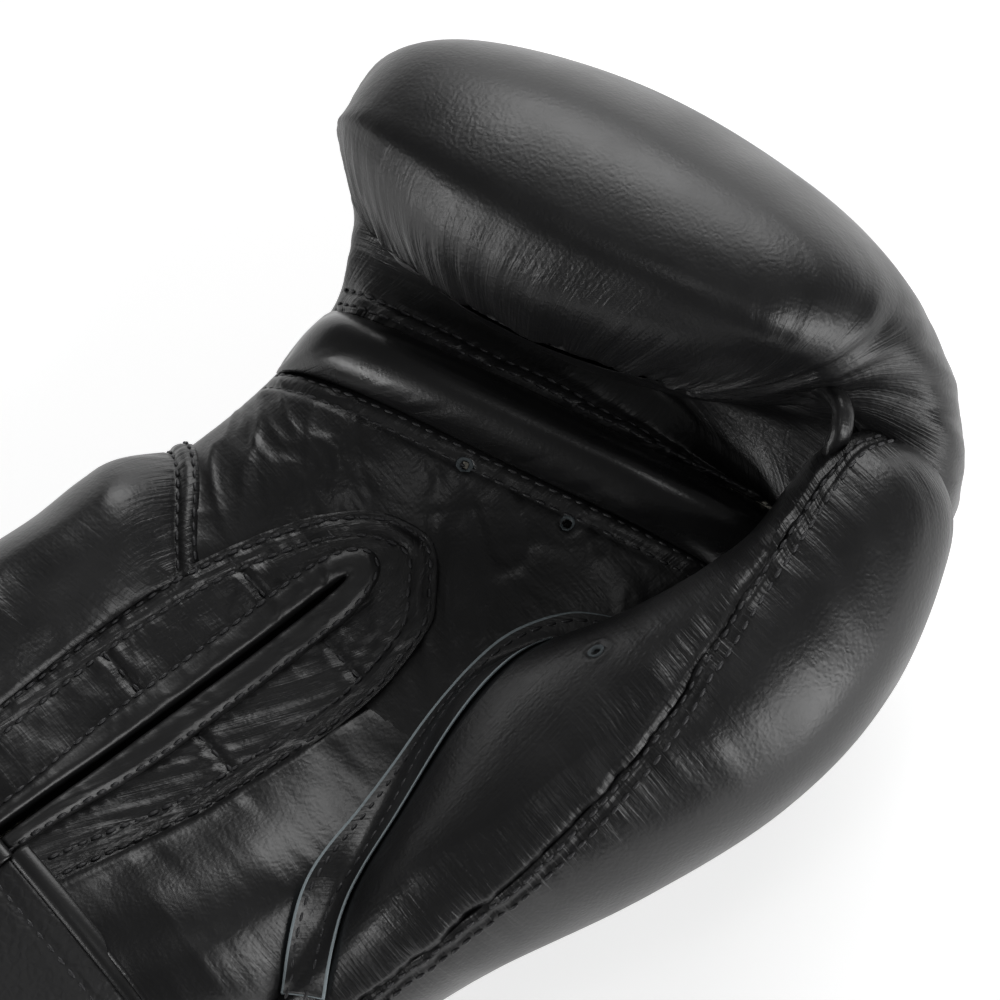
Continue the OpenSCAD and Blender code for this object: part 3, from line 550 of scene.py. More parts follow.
polished_leather = leather("polished cowhide", (0.0055, 0.0055, 0.0058), 0.27, 0.00002, 0.8, 0.0002)
roll_s = SEAM_LOW + 0.5 - 0.497 * np.cos(np.linspace(0, np.pi, 56))
roll_a = even(lambda t: hand_point(6.5, t), 15.4, 164.6, 150)
S, A = spread_out(roll_s, roll_a)
over = hand_skin(S, A, ROLL_HEIGHT * roll_swell(S, A))
across, along = distances(over)
rim = np.minimum(along, along[-1:] - along)
lift = 0.35 * lattice(across / 20, along / 9, 111) + 0.3 * folds(across, rim, 4.0, 6, 113)
lift = lift * ramp(rim, 0, 3) * ramp(np.minimum(across, across[:, -1:] - across), 0, 4)
high = ROLL_HEIGHT * roll_swell(S, A) + lift
high[:, [0, -1]] = -0.5
high[:, [1, -2]] *= 0.6
roll_leather = shell("grip_roll_leather", hand_skin(S, A, high), hand_skin(S, A, high - LEATHER),
                     uv=(across, along), gather=(bell(rim, 4) * 0.6, 0.1))
dress(roll_leather, polished_leather, "grip_roll_leather")

# ---------------------------------------------------------------- slit facing
# A second layer of hide is sewn round the top of the slit, with an arched double row of
# stitches and quilting rows across, so that the slit can't tear the palm.

FACING_LEFT = [(-20.5, 1), (-23, 16), (-24, 36), (-23.5, 58), (-20, 78), (-14, 95), (-7, 105),
               (1, 109.4)]
FACING_RIGHT = [(15, 1), (18, 16), (22, 36), (24, 58), (24, 80), (20, 97), (14, 104), (7, 109.4)]
FACING_ROWS = (1.5, 6.0)  # stitch rows, mm from the outer edge
QUILTING = [(-1, 75.2), (-1, 42.2), (1, 79.2), (1, 46.2)]  # side and height of each quilted row


def line_through(points, count):
    """Evenly spaced points on a smooth line through the given ones."""
    points = np.asarray(points, float)
    return station(points, even(lambda t: station(points, t), 0, len(points) - 1, count))


def on_palm(x, y, off):
    """Point off mm over the creased palm, at x and y as seen from above."""
    s = palm_station(x, y)
    return hand_skin(s, palm_angle(s, x), off + palm_wrinkles(x, y))


def slit_line(w, count):
    """Line round the slit at the distance w from its edge, from the cuff round to the cuff."""
    rise = 11 + w  # height of the arch over the slit's end
    top = SLIT_LENGTH + 1.2 * w
    t = np.linspace(0, 1, 700)
    up = np.stack([np.full(700, half_slit + w), 0.8 + (top - rise - 0.8) * t], 1)
    arc = np.radians(90 * t[1:])
    over = np.stack([(half_slit + w) * np.cos(arc) ** 0.9, top - rise + rise * np.sin(arc)], 1)
    half = np.vstack([up, over])
    half[:, 0] -= 0.45 * w * (1 - ramp(half[:, 1], 0, 40))
    whole = np.vstack([half * [-1, 1], half[::-1][1:]])
    run = np.r_[0, np.cumsum(np.linalg.norm(np.diff(whole, axis=0), axis=1))]
    at = np.linspace(0, run[-1], count)
    return np.stack([np.interp(at, run, whole[:, 0]), np.interp(at, run, whole[:, 1])], 1)


facing_outer = line_through(FACING_LEFT + FACING_RIGHT[::-1], 281)
facing_inner = slit_line(0.4, 281)
share = np.linspace(0, 1, 27)[None, :, None]
plan = facing_inner[:, None] * (1 - share) + facing_outer[:, None] * share
across, along = distances(np.dstack([plan, np.zeros(plan.shape[:2])]))
to_edge = across[:, -1:] - across
lift = 0.4 * folds(along, np.abs(to_edge - 3.6), 4.5, 7, 121)
lift += 0.25 * lattice(across / 5, along / 5, 123)
lift -= 0.55 * (bell(to_edge - FACING_ROWS[0], 0.7) + bell(to_edge - FACING_ROWS[1], 0.8))
lift += 0.5 * bell(to_edge - 3.7, 1.3)
for side, height in QUILTING:
    near = bell(plan[..., 1] - height, 0.9) * (plan[..., 0] * side > 0)
    puff = bell(np.abs(plan[..., 1] - height) - 2.2, 1.5) * (plan[..., 0] * side > 0)
    lift += (0.3 * puff - 0.55 * near) * ramp(to_edge, 5, 7)
over = on_palm(plan[..., 0], plan[..., 1], 1.4 + lift)
for d in FACING_ROWS:
    seam("facing", over, to_edge, d, 1)
for side, height in QUILTING:
    columns = np.linspace(8.4 * side, 17.5 * side, 12)
    rows_up = height + 0.25 * side * np.linspace(-1, 1, 12)
    line = on_palm(columns, rows_up, 1.0)
    seam_lines["facing"].append((line, np.tile([0.0, 0.0, 1.0], (12, 1))))
facing = shell("slit_facing", over,
               on_palm(plan[..., 0], plan[..., 1], 0.3), uv=(across, along),
               gather=(0.3 + 0.6 * bell(to_edge - 3.7, 3), 0.35))
dress(facing, glove_leather, "slit_facing")

# ---------------------------------------------------------------- slit binding and gusset
# Smooth binding is folded over the slit's raw edge and sewn down flat on each side. A thin
# dark gusset closes the slit from inside.

BINDING_WIDTH = 5.8
binding_leather = leather("binding leather", (0.0065, 0.0065, 0.0068), 0.38, 0.00002, 0.7, 0.00012)
# distance from the slit's edge and height over the palm, from the inside of the fold outwards
profile = [(-0.5, -2.4), (-0.75, 0.2), (-0.75, 2.0), (-0.3, 3.3), (0.9, 3.75), (2.6, 3.7),
           (4.2, 3.4), (4.9, 2.95), (5.4, 2.7), (BINDING_WIDTH, 1.9)]
ring = line_through(profile, 26)
lines = [slit_line(w, 261) for w in ring[:, 0]]
plan = np.stack(lines, 1)
height = np.broadcast_to(ring[None, :, 1], plan.shape[:2])
along = distances(np.dstack([plan, height]))[1]
dent = 0.18 * lattice(along / 6, ring[None, :, 0] / 3, 131) * ramp(ring[None, :, 0], 0.4, 2)
over = on_palm(plan[..., 0], plan[..., 1], height + dent)
seam("facing", over, np.broadcast_to(ring[None, :, 0], height.shape), 5.2, 1)
binding = shell("slit_binding", over,
                on_palm(plan[..., 0], plan[..., 1], np.minimum(height - 1.0, 2.0)),
                uv=(height, along), gather=(0.1, 0.25))
dress(binding, binding_leather, "slit_binding")

# y and z of the path's middle are the hand's own; reaches and depths of the hand's space
HOLLOW = np.array([
    [43, 47, 24, 26], [43, 47, 24, 26], [42, 46, 22, 25], [41, 47, 16, 25], [40, 46, 10, 24],
    [39, 45, 7, 24], [39, 45, 6, 24], [40, 46, 5, 23], [44, 50, 5, 19], [47, 50, 5, 17],
    [46, 31, 5, 14], [44, 23, 5, 13.5], [38, 17, 4, 12], [28, 14, 2, 8], [20, 8, 1, 2]], float)
LINING = 0.9  # thickness of the lining, mm


def hollow_point(s, angle, grow=0.0):
    """Point on the wall of the hand's space, which ends before the curl does."""
    s, angle = np.broadcast_arrays(np.asarray(s, float), np.asarray(angle, float))
    deep = np.where(s < 10, s, 10 + (s - 10) * 2.6 / 4)
    return ring_point(station(HAND, deep, WRIST), station(HOLLOW, deep, WRIST), angle, grow)


def cloth(name, colour, thread, rough):
    """Plain woven cloth: two sets of threads in the piece's own directions."""
    material, tree, shader = new_finish(name, Roughness=rough, Sheen_Weight=0.3)
    hide = node(tree, "ShaderNodeUVMap", uv_map="hide")
    heights = []
    for turn in (0.0, math.pi / 2):
        place = node(tree, "ShaderNodeMapping")
        place.inputs["Rotation"].default_value = (0, 0, turn)
        threads = node(tree, "ShaderNodeTexWave", Scale=1000 / thread / 20, Distortion=0.6,
                       Detail=1.0)
        tree.links.new(hide.outputs["UV"], place.inputs["Vector"])
        tree.links.new(place.outputs["Vector"], threads.inputs["Vector"])
        heights.append(threads)
    top = node(tree, "ShaderNodeMath", operation="MAXIMUM")
    tree.links.new(heights[0].outputs["Fac"], top.inputs[0])
    tree.links.new(heights[1].outputs["Fac"], top.inputs[1])
    two_tones(tree, top.outputs[0], [c * 0.45 for c in colour], colour, shader)
    raised(tree, top.outputs[0], thread * 0.0002, shader)
    return material


gusset_cloth = cloth("gusset cloth", (0.02, 0.02, 0.022), 0.5, 0.85)
S, A = spread_out(np.linspace(WRIST, 4.9, 50), np.linspace(75, 105, 22))
across, along = distances(hollow_point(S, A))
gusset = shell("slit_gusset", hollow_point(S, A, -0.3), hollow_point(S, A, -1.2),
               uv=(across, along), gather=(0, 0))
dress(gusset, gusset_cloth, "slit_gusset")

# ---------------------------------------------------------------- heel pads
# Two stuffed cushions cover the heel of the hand beside the slit. Each is a panel of hide
# over its own foam; the little finger side one is closed at the top by a double seam.

PAD_FROM, PAD_TO = 2.05, 4.1526  # first and last station
# first and last angle, height in mm, seed
PADS = {"pinky_pad": (114, 186, 8.0, 141), "thumb_pad": (18, 70, 9.0, 151)}
PAD_SEAM = 5.4  # width of the flat double seam that closes the little finger side pad
PAD_ROWS = (0.9, 4.9)  # its stitch rows, mm from the upper edge


def pad_swell(s, angle, a0, a1):
    """Share of a pad's height: it opens quickly at the cuff and closes slowly at the top."""
    closing = np.sin(np.radians(90 + 90 * np.maximum(0, s - 3) / (PAD_TO - 3)))
    round_way = np.sin(np.pi * np.clip((angle - a0) / (a1 - a0), 0, 1))
    opening = np.minimum(1, 0.45 + (s - PAD_FROM) * 1.4)
    return np.maximum(0, closing) ** 0.6 * opening * round_way ** 0.7


def pad_grid(name, rows, columns):
    """Stations and angles of a pad: its inner side follows the facing's edge."""
    a0, a1 = PADS[name][:2]
    pinky = name == "pinky_pad"
    edge = np.array(FACING_LEFT if pinky else FACING_RIGHT, float)
    f, t = np.linspace(0, 1, columns)[None], np.linspace(0, 1, rows)[:, None]
    # the little finger side pad reaches further up at its outer end
    bulge = np.sin(np.pi * f)
    top = PAD_TO + (0.66 * f ** 0.8 + 0.3 * bulge - 0.2 if pinky else 0.1 * bulge)
    stations = PAD_FROM + (top - PAD_FROM) * t
    row = station(HAND, stations, WRIST)
    x = np.interp(row[..., 0], edge[:, 1], edge[:, 0]) * (0.97 if pinky else 0.99)
    inner = palm_angle(stations, x)
    outer = a1 if pinky else a0
    return stations, inner + (outer - inner) * f ** (0.86 if pinky else 0.8)


for name, (a0, a1, high, seed) in PADS.items():
    pinky = name == "pinky_pad"
    S, A = pad_grid(name, 110, 96)
    across, along = distances(hand_point(S, A))
    to_top = along[-1:] - along
    to_out = across[:, -1:] - across
    wrinkle = palm_wrinkles(hand_point(S, A)[..., 0], hand_point(S, A)[..., 1])
    if pinky:
        top_form = ramp(to_top, PAD_SEAM - 0.6, PAD_SEAM + 15) ** 0.55
        side_form = ramp(across, -1, 22) ** 0.62 * ramp(to_out, 0, 38) ** 0.9
        seat = 1.5 * ramp(to_top, -0.4, 1.0) - 1.35 + 0.35 * bell(to_top - 2.9, 1.2)
    else:
        top_form = ramp(to_top, 3, 50) ** 1.2
        side_form = ramp(across, 0, 26) ** 0.75 * ramp(to_out, -3, 22) ** 0.6
        seat = 0.9 * ramp(to_top, 0, 30) - 1.33 * (1 - ramp(to_top, 0, 26)) \
            + wrinkle * (1 - ramp(to_top, 0, 30))
        seat -= 0.7 * bell(to_top, 3)
    swell = (high + (1.5 if pinky else 1.0)) * top_form * side_form
    swell *= np.minimum(1, 0.5 + (S - PAD_FROM) * 1.2)
    off_seam = to_top - PAD_SEAM if pinky else to_top
    lift = 0.45 * lattice(across / 15, along / 12, seed + 5) * ramp(off_seam, 0, 10)
    if pinky:
        lift += 0.35 * folds(across, np.abs(off_seam), 4.2, 9, seed)
        lift += 0.5 * folds(along, across, 5.5, 18, seed + 6)
    else:
        lift += 0.8 * folds(along, to_out, 5.5, 26, seed + 6) * ramp(to_top, 4, 20)
        lift += 0.35 * folds(along, across, 5.0, 14, seed + 7) * ramp(to_top, 2, 14)
    lift = lift * ramp(np.minimum(across, to_out), 0, 3)
    h = LEATHER + seat + swell + lift
    if pinky:
        h -= 0.5 * (bell(to_top - PAD_ROWS[0], 0.5) + bell(to_top - PAD_ROWS[1], 0.6))
    h[0] = 0.3
    S[1] = S[0] + 0.012
    over = hand_skin(S, A, h)
    across, along = distances(over)
    if pinky:
        for d in PAD_ROWS:
            seam("pads", over, to_top, d, 0)
    under = hand_skin(S, A, np.minimum(h - 0.15, np.maximum(h - LEATHER, -0.3)))
    pad = shell(name + "_leather", over, under, uv=(across, along),
                gather=(bell(off_seam, 9) * pinky,
                        0.1 + (0.5 if pinky else 0.25) * bell(across if pinky else to_out, 20)))
    dress(pad, glove_leather, name + "_leather")

# ---------------------------------------------------------------- thumb
# The thumb is a stuffed roll of its own: one piece of hide round the outside and a flat,
# vented panel on the inside, joined by a seam that gathers both of them.

# x, y, z, heading, reach inwards, reach outwards, depth below, depth above, turn of the
# seams, squareness of the inner upper quarter
THUMB = np.array([
    [56, 6, 45, 0, 6, 7, 8, 8, -24, 2],
    [66, 30, 53, 0, 9, 10, 16, 15, -24, 1.8],
    [67, 62, 63, 0, 20, 17.5, 20, 25, -24, 1.5],
    [71, 96, 70, 0, 34, 23.5, 24, 28, -4, 1.35],
    [72, 128, 75, 0, 24, 28, 26, 26, 15, 1.7],
    [67, 156, 75, 8, 14, 28, 25, 25, 30, 2.1],
    [60, 180, 75, 16, 12, 22, 19, 21, 36, 2.2],
    [58, 190, 75, 20, 8, 13, 12, 13, 36, 2.2],
    [57, 194, 75, 20, 1, 1, 1, 1, 36, 2.2]], float)
THUMB_SPACE = np.array([
    [30, 24, 39, -30, 9, 9, 8, 8, 0, 2.2],
    [46, 50, 46, -30, 9, 9, 7, 7.5, 0, 2.2],
    [61, 76, 58.3, -25, 10, 10, 8, 9.5, 0, 2.2],
    [68, 102, 69, -10, 12, 12, 12, 12, 0, 2.2],
    [72, 128, 75, 0, 13, 13, 13, 13, 0, 2.2],
    [69, 156, 75, 12, 11, 14, 12, 12, 0, 2.2],
    [64, 170, 75, 18, 8, 9, 9, 9, 0, 2.2],
    [62, 174, 75, 18, 3, 3, 3, 3, 0, 2.2]], float)
THUMB_TIP = len(THUMB) - 1


def thumb_point(table, s, angle, grow=0.0):
    """Point on the thumb's form or on its space, by the table that is given."""
    s, angle = np.broadcast_arrays(np.asarray(s, float), np.asarray(angle, float))
    row = station(table, s)
    b = np.radians(angle + row[..., 8])
    c, n = np.cos(b), np.sin(b)
    square = 2 / np.where((c < 0) & (n > 0), row[..., 9], 2.2)
    wide, high = np.where(c < 0, row[..., 4], row[..., 5]), np.where(n < 0, row[..., 6], row[..., 7])
    across = np.maximum(0.5, wide + grow) * signed_power(c, square)
    up = np.maximum(0.5, high + grow) * signed_power(n, square)
    heading = np.radians(row[..., 3])
    return np.stack([row[..., 0] + across * np.cos(heading), row[..., 1] + across * np.sin(heading),
                     row[..., 2] + up], -1)


def thumb_skin(s, angle, off=0.0):
    s, angle = np.broadcast_arrays(np.asarray(s, float), np.asarray(angle, float))
    along = thumb_point(THUMB, np.minimum(s + 0.05, THUMB_TIP), angle) \
        - thumb_point(THUMB, np.maximum(s - 0.05, 0), angle)
    n = unit(np.cross(along, thumb_point(THUMB, s, angle + 2) - thumb_point(THUMB, s, angle - 2)))
    return thumb_point(THUMB, s, angle) + np.asarray(off, float)[..., None] * n


def surface_of(*objects):
    """The outer surface of finished pieces, for laying others on it."""
    points, faces = [], []
    for piece in objects:
        at = len(points)
        points += [v.co.copy() for v in piece.data.vertices]
        faces += [[at + i for i in f.vertices] for f in piece.data.polygons]
    return BVHTree.FromPolygons(points, faces)


def depth_in(surface, grid):
    """How far in mm each point of a grid lies outside a surface, or below 0 inside it."""
    out = []
    for p in to_frame(grid.reshape(-1, 3)):
        hit, normal, _, gap = surface.find_nearest(Vector(p))
        out.append(gap * 1000 * (1 if (Vector(p) - hit).dot(normal) > 0 else -1))
    return np.array(out).reshape(grid.shape[:2])


def full_turn(count):
    """Angles all round a ring, the last one left out because it is the first one again."""
    return np.linspace(0, 360, count + 1)[:-1]


hand_s, hand_a = spread_out(np.linspace(WRIST - 1, TIP, 90), full_turn(120))
hand_form = shell("hand_form", hand_skin(hand_s, hand_a), hand_skin(hand_s, hand_a, -0.2), wrap=True)
hand_surface = surface_of(hand_form)
bpy.data.objects.remove(hand_form)

# name, first and last angle, columns, seed
THUMB_LEATHER = ("thumb_leather", -135 + 0.4, 75 - 0.1, 170, 161)
THUMB_PANEL = ("thumb_panel", 75 - 0.5, 225, 120, 171)
THUMB_VENT = (54.0, 116.0)
THUMB_ROWS, THUMB_ROWS_END = (1.2, 4.0), 6.95  # mm from the seam, and the station where they end
thumb_pieces = []
for name, a0, a1, columns, seed in (THUMB_LEATHER, THUMB_PANEL):
    thumb_s = even(lambda t: thumb_point(THUMB, t, (a0 + a1) / 2), 0, THUMB_TIP, 170)
    thumb_a = even(lambda t: thumb_point(THUMB, 3.6, t), a0, a1, columns)
    S, A = spread_out(thumb_s, thumb_a)
    flat = thumb_point(THUMB, S, A)
    across, along = distances(flat)
    to_top = across[:, -1:] - across if name == "thumb_leather" else across
    to_low = across if name == "thumb_leather" else across[:, -1:] - across
    lift = 0.35 * lattice(across / 22, along / 26, seed) * ramp(np.minimum(to_top, to_low), 0, 14)
    if name == "thumb_leather":
        lift += 0.5 * folds(along, to_top, 3.6, 11, seed + 1) \
            + 0.45 * folds(along, to_top, 8.0, 20, seed + 2)
        lift += 0.4 * folds(along, to_low, 6.0, 14, seed + 3)
        tip = along[-1:] - along
        lift += 0.4 * folds(across, tip, 4.5, 18, seed + 4)
        lift -= 0.35 * bell(to_top - 2.6, 0.7)
        gather = (bell(tip, 20), bell(to_top, 12))
    else:
        lift += 0.55 * folds(along, to_top, 4.6, 9, seed + 1) \
            + 0.5 * folds(along, to_top, 11.0, 24, seed + 2)
        lift += 0.3 * folds(along, to_low, 6.0, 16, seed + 3)
        gather = (0.25, 0.2 + bell(to_top, 9))
        lift += vent_dish(np.hypot(flat[..., 0] - THUMB_VENT[0], flat[..., 1] - THUMB_VENT[1]))
    lift -= 0.9 * bell(np.minimum(to_top, to_low), 1.1)
    outside = depth_in(hand_surface, flat) > -1.6
    keep = outside[:-1, :-1] | outside[1:, :-1] | outside[:-1, 1:] | outside[1:, 1:]
    if name == "thumb_panel":
        from_vent = flat[:-1, :-1, :2] - THUMB_VENT
        keep &= np.hypot(from_vent[..., 0], from_vent[..., 1]) > VENT_RADIUS
    over = thumb_skin(S, A, lift)
    if name == "thumb_leather":
        for d in THUMB_ROWS:
            seam("thumb", over, to_top, d, 1, keep & (S[:-1, :-1] < THUMB_ROWS_END))
    piece = shell(name, over, thumb_skin(S, A, lift * INNER_SHARE - LEATHER), keep,
                  uv=(across, along), gather=gather)
    dress(piece, glove_leather, name)
    thumb_pieces.append(piece)

# ---------------------------------------------------------------- thumb seam band
# A strip of hide with cut, undyed edges is stitched over the crease where the thumb joins
# the palm. It starts at the heel pad and narrows to nothing beside the grip roll.

BAND_INNER = [(61, 25), (48.5, 43), (42, 61.5), (34.8, 83.5), (31.8, 100), (32.2, 111),
              (36.5, 121.5), (43, 128)]
BAND_WIDTHS = [9.7, 9.1, 9.1, 9.1, 9.1, 9.1, 9.1, 2.6]
BAND_THICK = 1.3
BAND_ROWS = (1.8, 7.0)  # stitch rows, mm from the inner edge
BAND_STEPS, BAND_COLUMNS = 220, 18

band_line = line_through(BAND_INNER, BAND_STEPS + 1)
band_width = np.interp(np.linspace(0, 1, BAND_STEPS + 1), np.linspace(0, 1, 8), BAND_WIDTHS)
way = unit(np.gradient(band_line, axis=0))
side = np.stack([way[:, 1], -way[:, 0]], 1)
share = np.linspace(0, 1, BAND_COLUMNS + 1)
plan = band_line[:, None] + side[:, None] * (band_width[:, None] * share[None])[..., None]
ground = surface_of(palm_leather, *thumb_pieces, bpy.data.objects["sewn_thumb_pad_leather"])


def drop(surface, x, y, top=130.0):
    """Height of the first surface below a place seen from above, in mm."""
    start = to_frame(np.stack([x, y, np.full(x.shape, top)], -1)).reshape(-1, 3)
    found = []
    for p in start:
        hit = surface.ray_cast(Vector(p), Vector((0, 0, -1)))[0]
        found.append(np.nan if hit is None else hit.z * 1000)
    return np.array(found).reshape(x.shape)


def soften(grid, rounds):
    """Evens out the heights of a grid; its four corners stay where they are."""
    for _ in range(rounds):
        inner = grid.copy()
        inner[1:-1] = (grid[:-2] + 2 * grid[1:-1] + grid[2:]) / 4
        inner[:, 1:-1] = (inner[:, :-2] + 2 * inner[:, 1:-1] + inner[:, 2:]) / 4
        grid = inner
    return grid


rest = drop(ground, plan[..., 0], plan[..., 1])
height = rest + 0.5
for _ in range(12):
    height = np.maximum(soften(height, 2), rest + 0.35)
height = soften(height, 3)
top = np.dstack([plan, height + BAND_THICK])
low = np.dstack([plan, height])
across, along = distances(top)
band_leather = leather("band leather", (0.0075, 0.0075, 0.008), 0.38, 0.00004, 0.9, 0.0002)
raw_edge = leather("cut edge", (0.2, 0.235, 0.25), 0.75, 0.00008, 0.6, 0.0003)
for d in BAND_ROWS:
    seam("band", top, across, d, 1)
band = shell("thumb_seam_band", top, low, uv=(across, along), gather=(0.1, 0.35))
dress(band, band_leather, "thumb_seam_band")
band.data.materials.append(raw_edge)
# the walls and the outermost columns of the upper side are the raw cut
one_side = BAND_STEPS * BAND_COLUMNS
for face in band.data.polygons:
    column = face.index % BAND_COLUMNS
    if face.index >= 2 * one_side or (face.index < one_side and column in (0, BAND_COLUMNS - 1)):
        face.material_index = 1

# ---------------------------------------------------------------- thumb tab
# A short rolled loop of hide ties the thumb's tip to the end of the curl.

TAB_PATH = [(41, 186.5, 89), (45, 187, 93.4), (49, 185.5, 95.2), (52, 182.5, 94.2),
            (53, 179.5, 90.5), (53, 177.5, 84)]
TAB_STEPS, TAB_SIDES, TAB_HIGH = 49, 32, 1.8
tab_line = line_through(TAB_PATH, TAB_STEPS)
tab_way = unit(np.gradient(tab_line, axis=0))
tab_side = unit(np.cross(tab_way, [0.6, 0.6, 1.0]))
tab_up = np.cross(tab_side, tab_way)
round_tab = np.radians(full_turn(TAB_SIDES))
tab_wide = 2.3 + 0.9 * np.abs(np.linspace(-1, 1, TAB_STEPS)) ** 2
flat_c, flat_n = signed_power(np.cos(round_tab), 0.8), signed_power(np.sin(round_tab), 0.9)
pinch = 1 + 0.10 * lattice(np.linspace(0, 9, TAB_STEPS)[:, None],
                           np.linspace(0, 5, TAB_SIDES)[None], 211)
outer = tab_line[:, None] + (tab_side[:, None] * (tab_wide[:, None] * flat_c[None] * pinch)[..., None]
                             + tab_up[:, None] * (TAB_HIGH * flat_n[None] * pinch)[..., None])
inner = tab_line[:, None] + (outer - tab_line[:, None]) * 0.45
across, along = distances(outer)
tab = shell("thumb_tab", outer, inner, uv=(across, along), gather=(0.5, 0.3), wrap=True)
dress(tab, glove_leather, "thumb_tab")

# ---------------------------------------------------------------- cuff
# The cuff is a sleeve of hide over foam, open at the slit so that it can widen, and lined
# with woven cloth. A folded strip of binding covers the raw edges at its mouth.

CUFF_TOP = 1.99  # last station of the cuff's pieces
CUFF_LENGTH = 74.0  # mm from the mouth to the strap's upper edge, two stations


def cuff_angles(count):
    """Angles round the cuff from one edge of its slit to the other."""
    return even(lambda t: hand_point(1.0, t), 90.28, 449.72, count)


cuff_s = np.linspace(0, CUFF_TOP, 62)
S, A = spread_out(cuff_s, cuff_angles(260))
across, along = distances(hand_point(S, A))
to_slit = np.minimum(across, across[:, -1:] - across)
lift = 0.6 * lattice(across / 27, along / 19, 181) + 0.35 * lattice(across / 60, along / 6, 183)
lift = lift * ramp(to_slit, 0, 6) * ramp(along, 0, 4) * ramp(along[-1:] - along, 0, 4)
lift -= 0.9 * bell(to_slit, 1.5)
covered = ramp(S, 0.55, 0.62) * 0.9
outer, inner = hand_skin(S, A, lift * (1 - covered)), hand_skin(S, A, -LEATHER)
walls = []
for column, inward in ((0, 1), (-1, -1)):
    top_line, low_line = outer[:, column], hollow_point(S[:, column], A[:, column], 1.1)
    fold = np.array([0.16 * inward, 0, 0])
    runs = [top_line * (1 - t) + low_line * t for t in (0.97, 0.6, 0.25)]
    walls.append((np.stack([r - fold for r in runs], 1), np.stack([r + fold * 4 for r in runs], 1)))
outer = np.hstack([walls[0][0], outer, walls[1][0][:, ::-1]])
inner = np.hstack([walls[0][1], inner, walls[1][1][:, ::-1]])
u, v = distances(outer)
cuff = shell("cuff_leather", outer, inner, uv=(u, v), gather=(0.15, 0.15))
dress(cuff, glove_leather, "cuff_leather")

lining_cloth = cloth("woven lining", (0.035, 0.035, 0.04), 0.6, 0.8)
lining = shell("cuff_lining", hollow_point(S, A, LINING), hollow_point(S, A),
               uv=distances(hollow_point(S, A)), gather=(0, 0))
dress(lining, lining_cloth, "cuff_lining")

MOUTH_BINDING = 5.0
reach = 2 * MOUTH_BINDING / CUFF_LENGTH
mouth_a = cuff_angles(240)
rings = []
for t, off in ((reach, 0.9), (reach * 0.9, 1.25), (reach * 0.45, 1.35), (0.012, 1.2)):
    rings.append((hand_skin(t, mouth_a, off), hand_skin(t, mouth_a, 0.2)))
turn_out = hand_skin(0.0, mouth_a, 0.9)
turn_in = hollow_point(0.0, mouth_a, -0.9)
flat_out, flat_in = hand_skin(0.0, mouth_a), hollow_point(0.0, mouth_a)
for share, back in ((0.0, 0.7), (0.12, 1.3), (0.5, 1.55), (0.88, 1.3), (1.0, 0.7)):
    rings.append((turn_out * (1 - share) + turn_in * share - [0, back, 0],
                  flat_out * (1 - share) + flat_in * share - [0, 0.2, 0]))
for t, off in ((0.012, -1.2), (reach * 0.45, -1.3), (reach, -1.0)):
    rings.append((hollow_point(t, mouth_a, off), hollow_point(t, mouth_a, -0.2)))
outer, inner = np.array([r[0] for r in rings]), np.array([r[1] for r in rings])
outer[..., 2] = np.maximum(outer[..., 2], 0.05)
across, along = distances(outer)
seam("cuff", outer, along, 0.9, 0)
mouth = shell("mouth_binding", outer, inner, uv=(across, along), gather=(0.3, 0))
dress(mouth, binding_leather, "mouth_binding")

# ---------------------------------------------------------------- strap
# A wide strap of pebbled leather closes the cuff over the palm side. Its root is sewn to the
# cuff on the little finger side, smooth edging is folded over its edges, and its free end
# holds by hook tape on loop tape.

STRAP_WIDTH, STRAP_THICK, TAPE, EDGING, EDGING_WIDTH = 52.0, 2.4, 1.2, 0.8, 4.0
STRAP_ROW = EDGING_WIDTH + 1.4  # stitch row beside the edging, mm from the strap's edge
STRAP_CORNER = 12.0  # radius of the free end's corners, mm
MID_STRAP = 1.3  # station of the strap's middle
FOLD_ANGLE, ROOT_ANGLE, END_ANGLE, TAPE_ANGLE = 168.0, 214.0, 30.0, 75.0
STRAP_MIDDLE_ROW = 26  # row of the strap's grid along its middle


def below_edge(y):
    """Station that lies y mm below the strap's upper edge."""
    return WRIST - 2 * np.asarray(y, float) / CUFF_LENGTH


def strap_lift(angle):
    """Height of the strap's underside over the cuff: it climbs on to the tapes."""
    climb = 2 * TAPE * (1 - ramp(angle, TAPE_ANGLE, TAPE_ANGLE + 24))
    seated = (0.3 + EDGING) * (1 - ramp(angle, FOLD_ANGLE - 4, FOLD_ANGLE + 6)) + 0.35 * ramp(
        angle, FOLD_ANGLE - 4, FOLD_ANGLE + 6)
    return seated + climb


def strap_place(y, angle, off):
    """Point on the strap: y in mm below its upper edge, off in mm above its underside."""
    return hand_skin(below_edge(y), angle, strap_lift(angle) + off)


def corner_inset(y):
    """How far in mm the rounded corners cut into the free end, y mm below its upper edge."""
    arc = np.maximum(0, np.abs(y - STRAP_WIDTH / 2) - (STRAP_WIDTH / 2 - STRAP_CORNER))
    return STRAP_CORNER - np.sqrt(np.maximum(0, STRAP_CORNER ** 2 - arc ** 2))


def straps_bend(piece, joint_pieces):
    """Puts the piece on its body when it rides on one; between two bodies it only bakes the piece's
    place into its points.
    """
    if len(joint_pieces) == 1:
        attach(piece, joint_pieces[0])
    else:
        a, b, from_angle, to_angle = joint_pieces
        start = to_frame(strap_place(STRAP_WIDTH / 2, np.array(from_angle), np.array(1.2)))
        end = to_frame(strap_place(STRAP_WIDTH / 2, np.array(to_angle), np.array(1.2)))
        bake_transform(piece)


pebbled = leather("pebbled strap leather", (0.0075, 0.0075, 0.008), 0.44, 0.00014, 1.6, 0.0001)
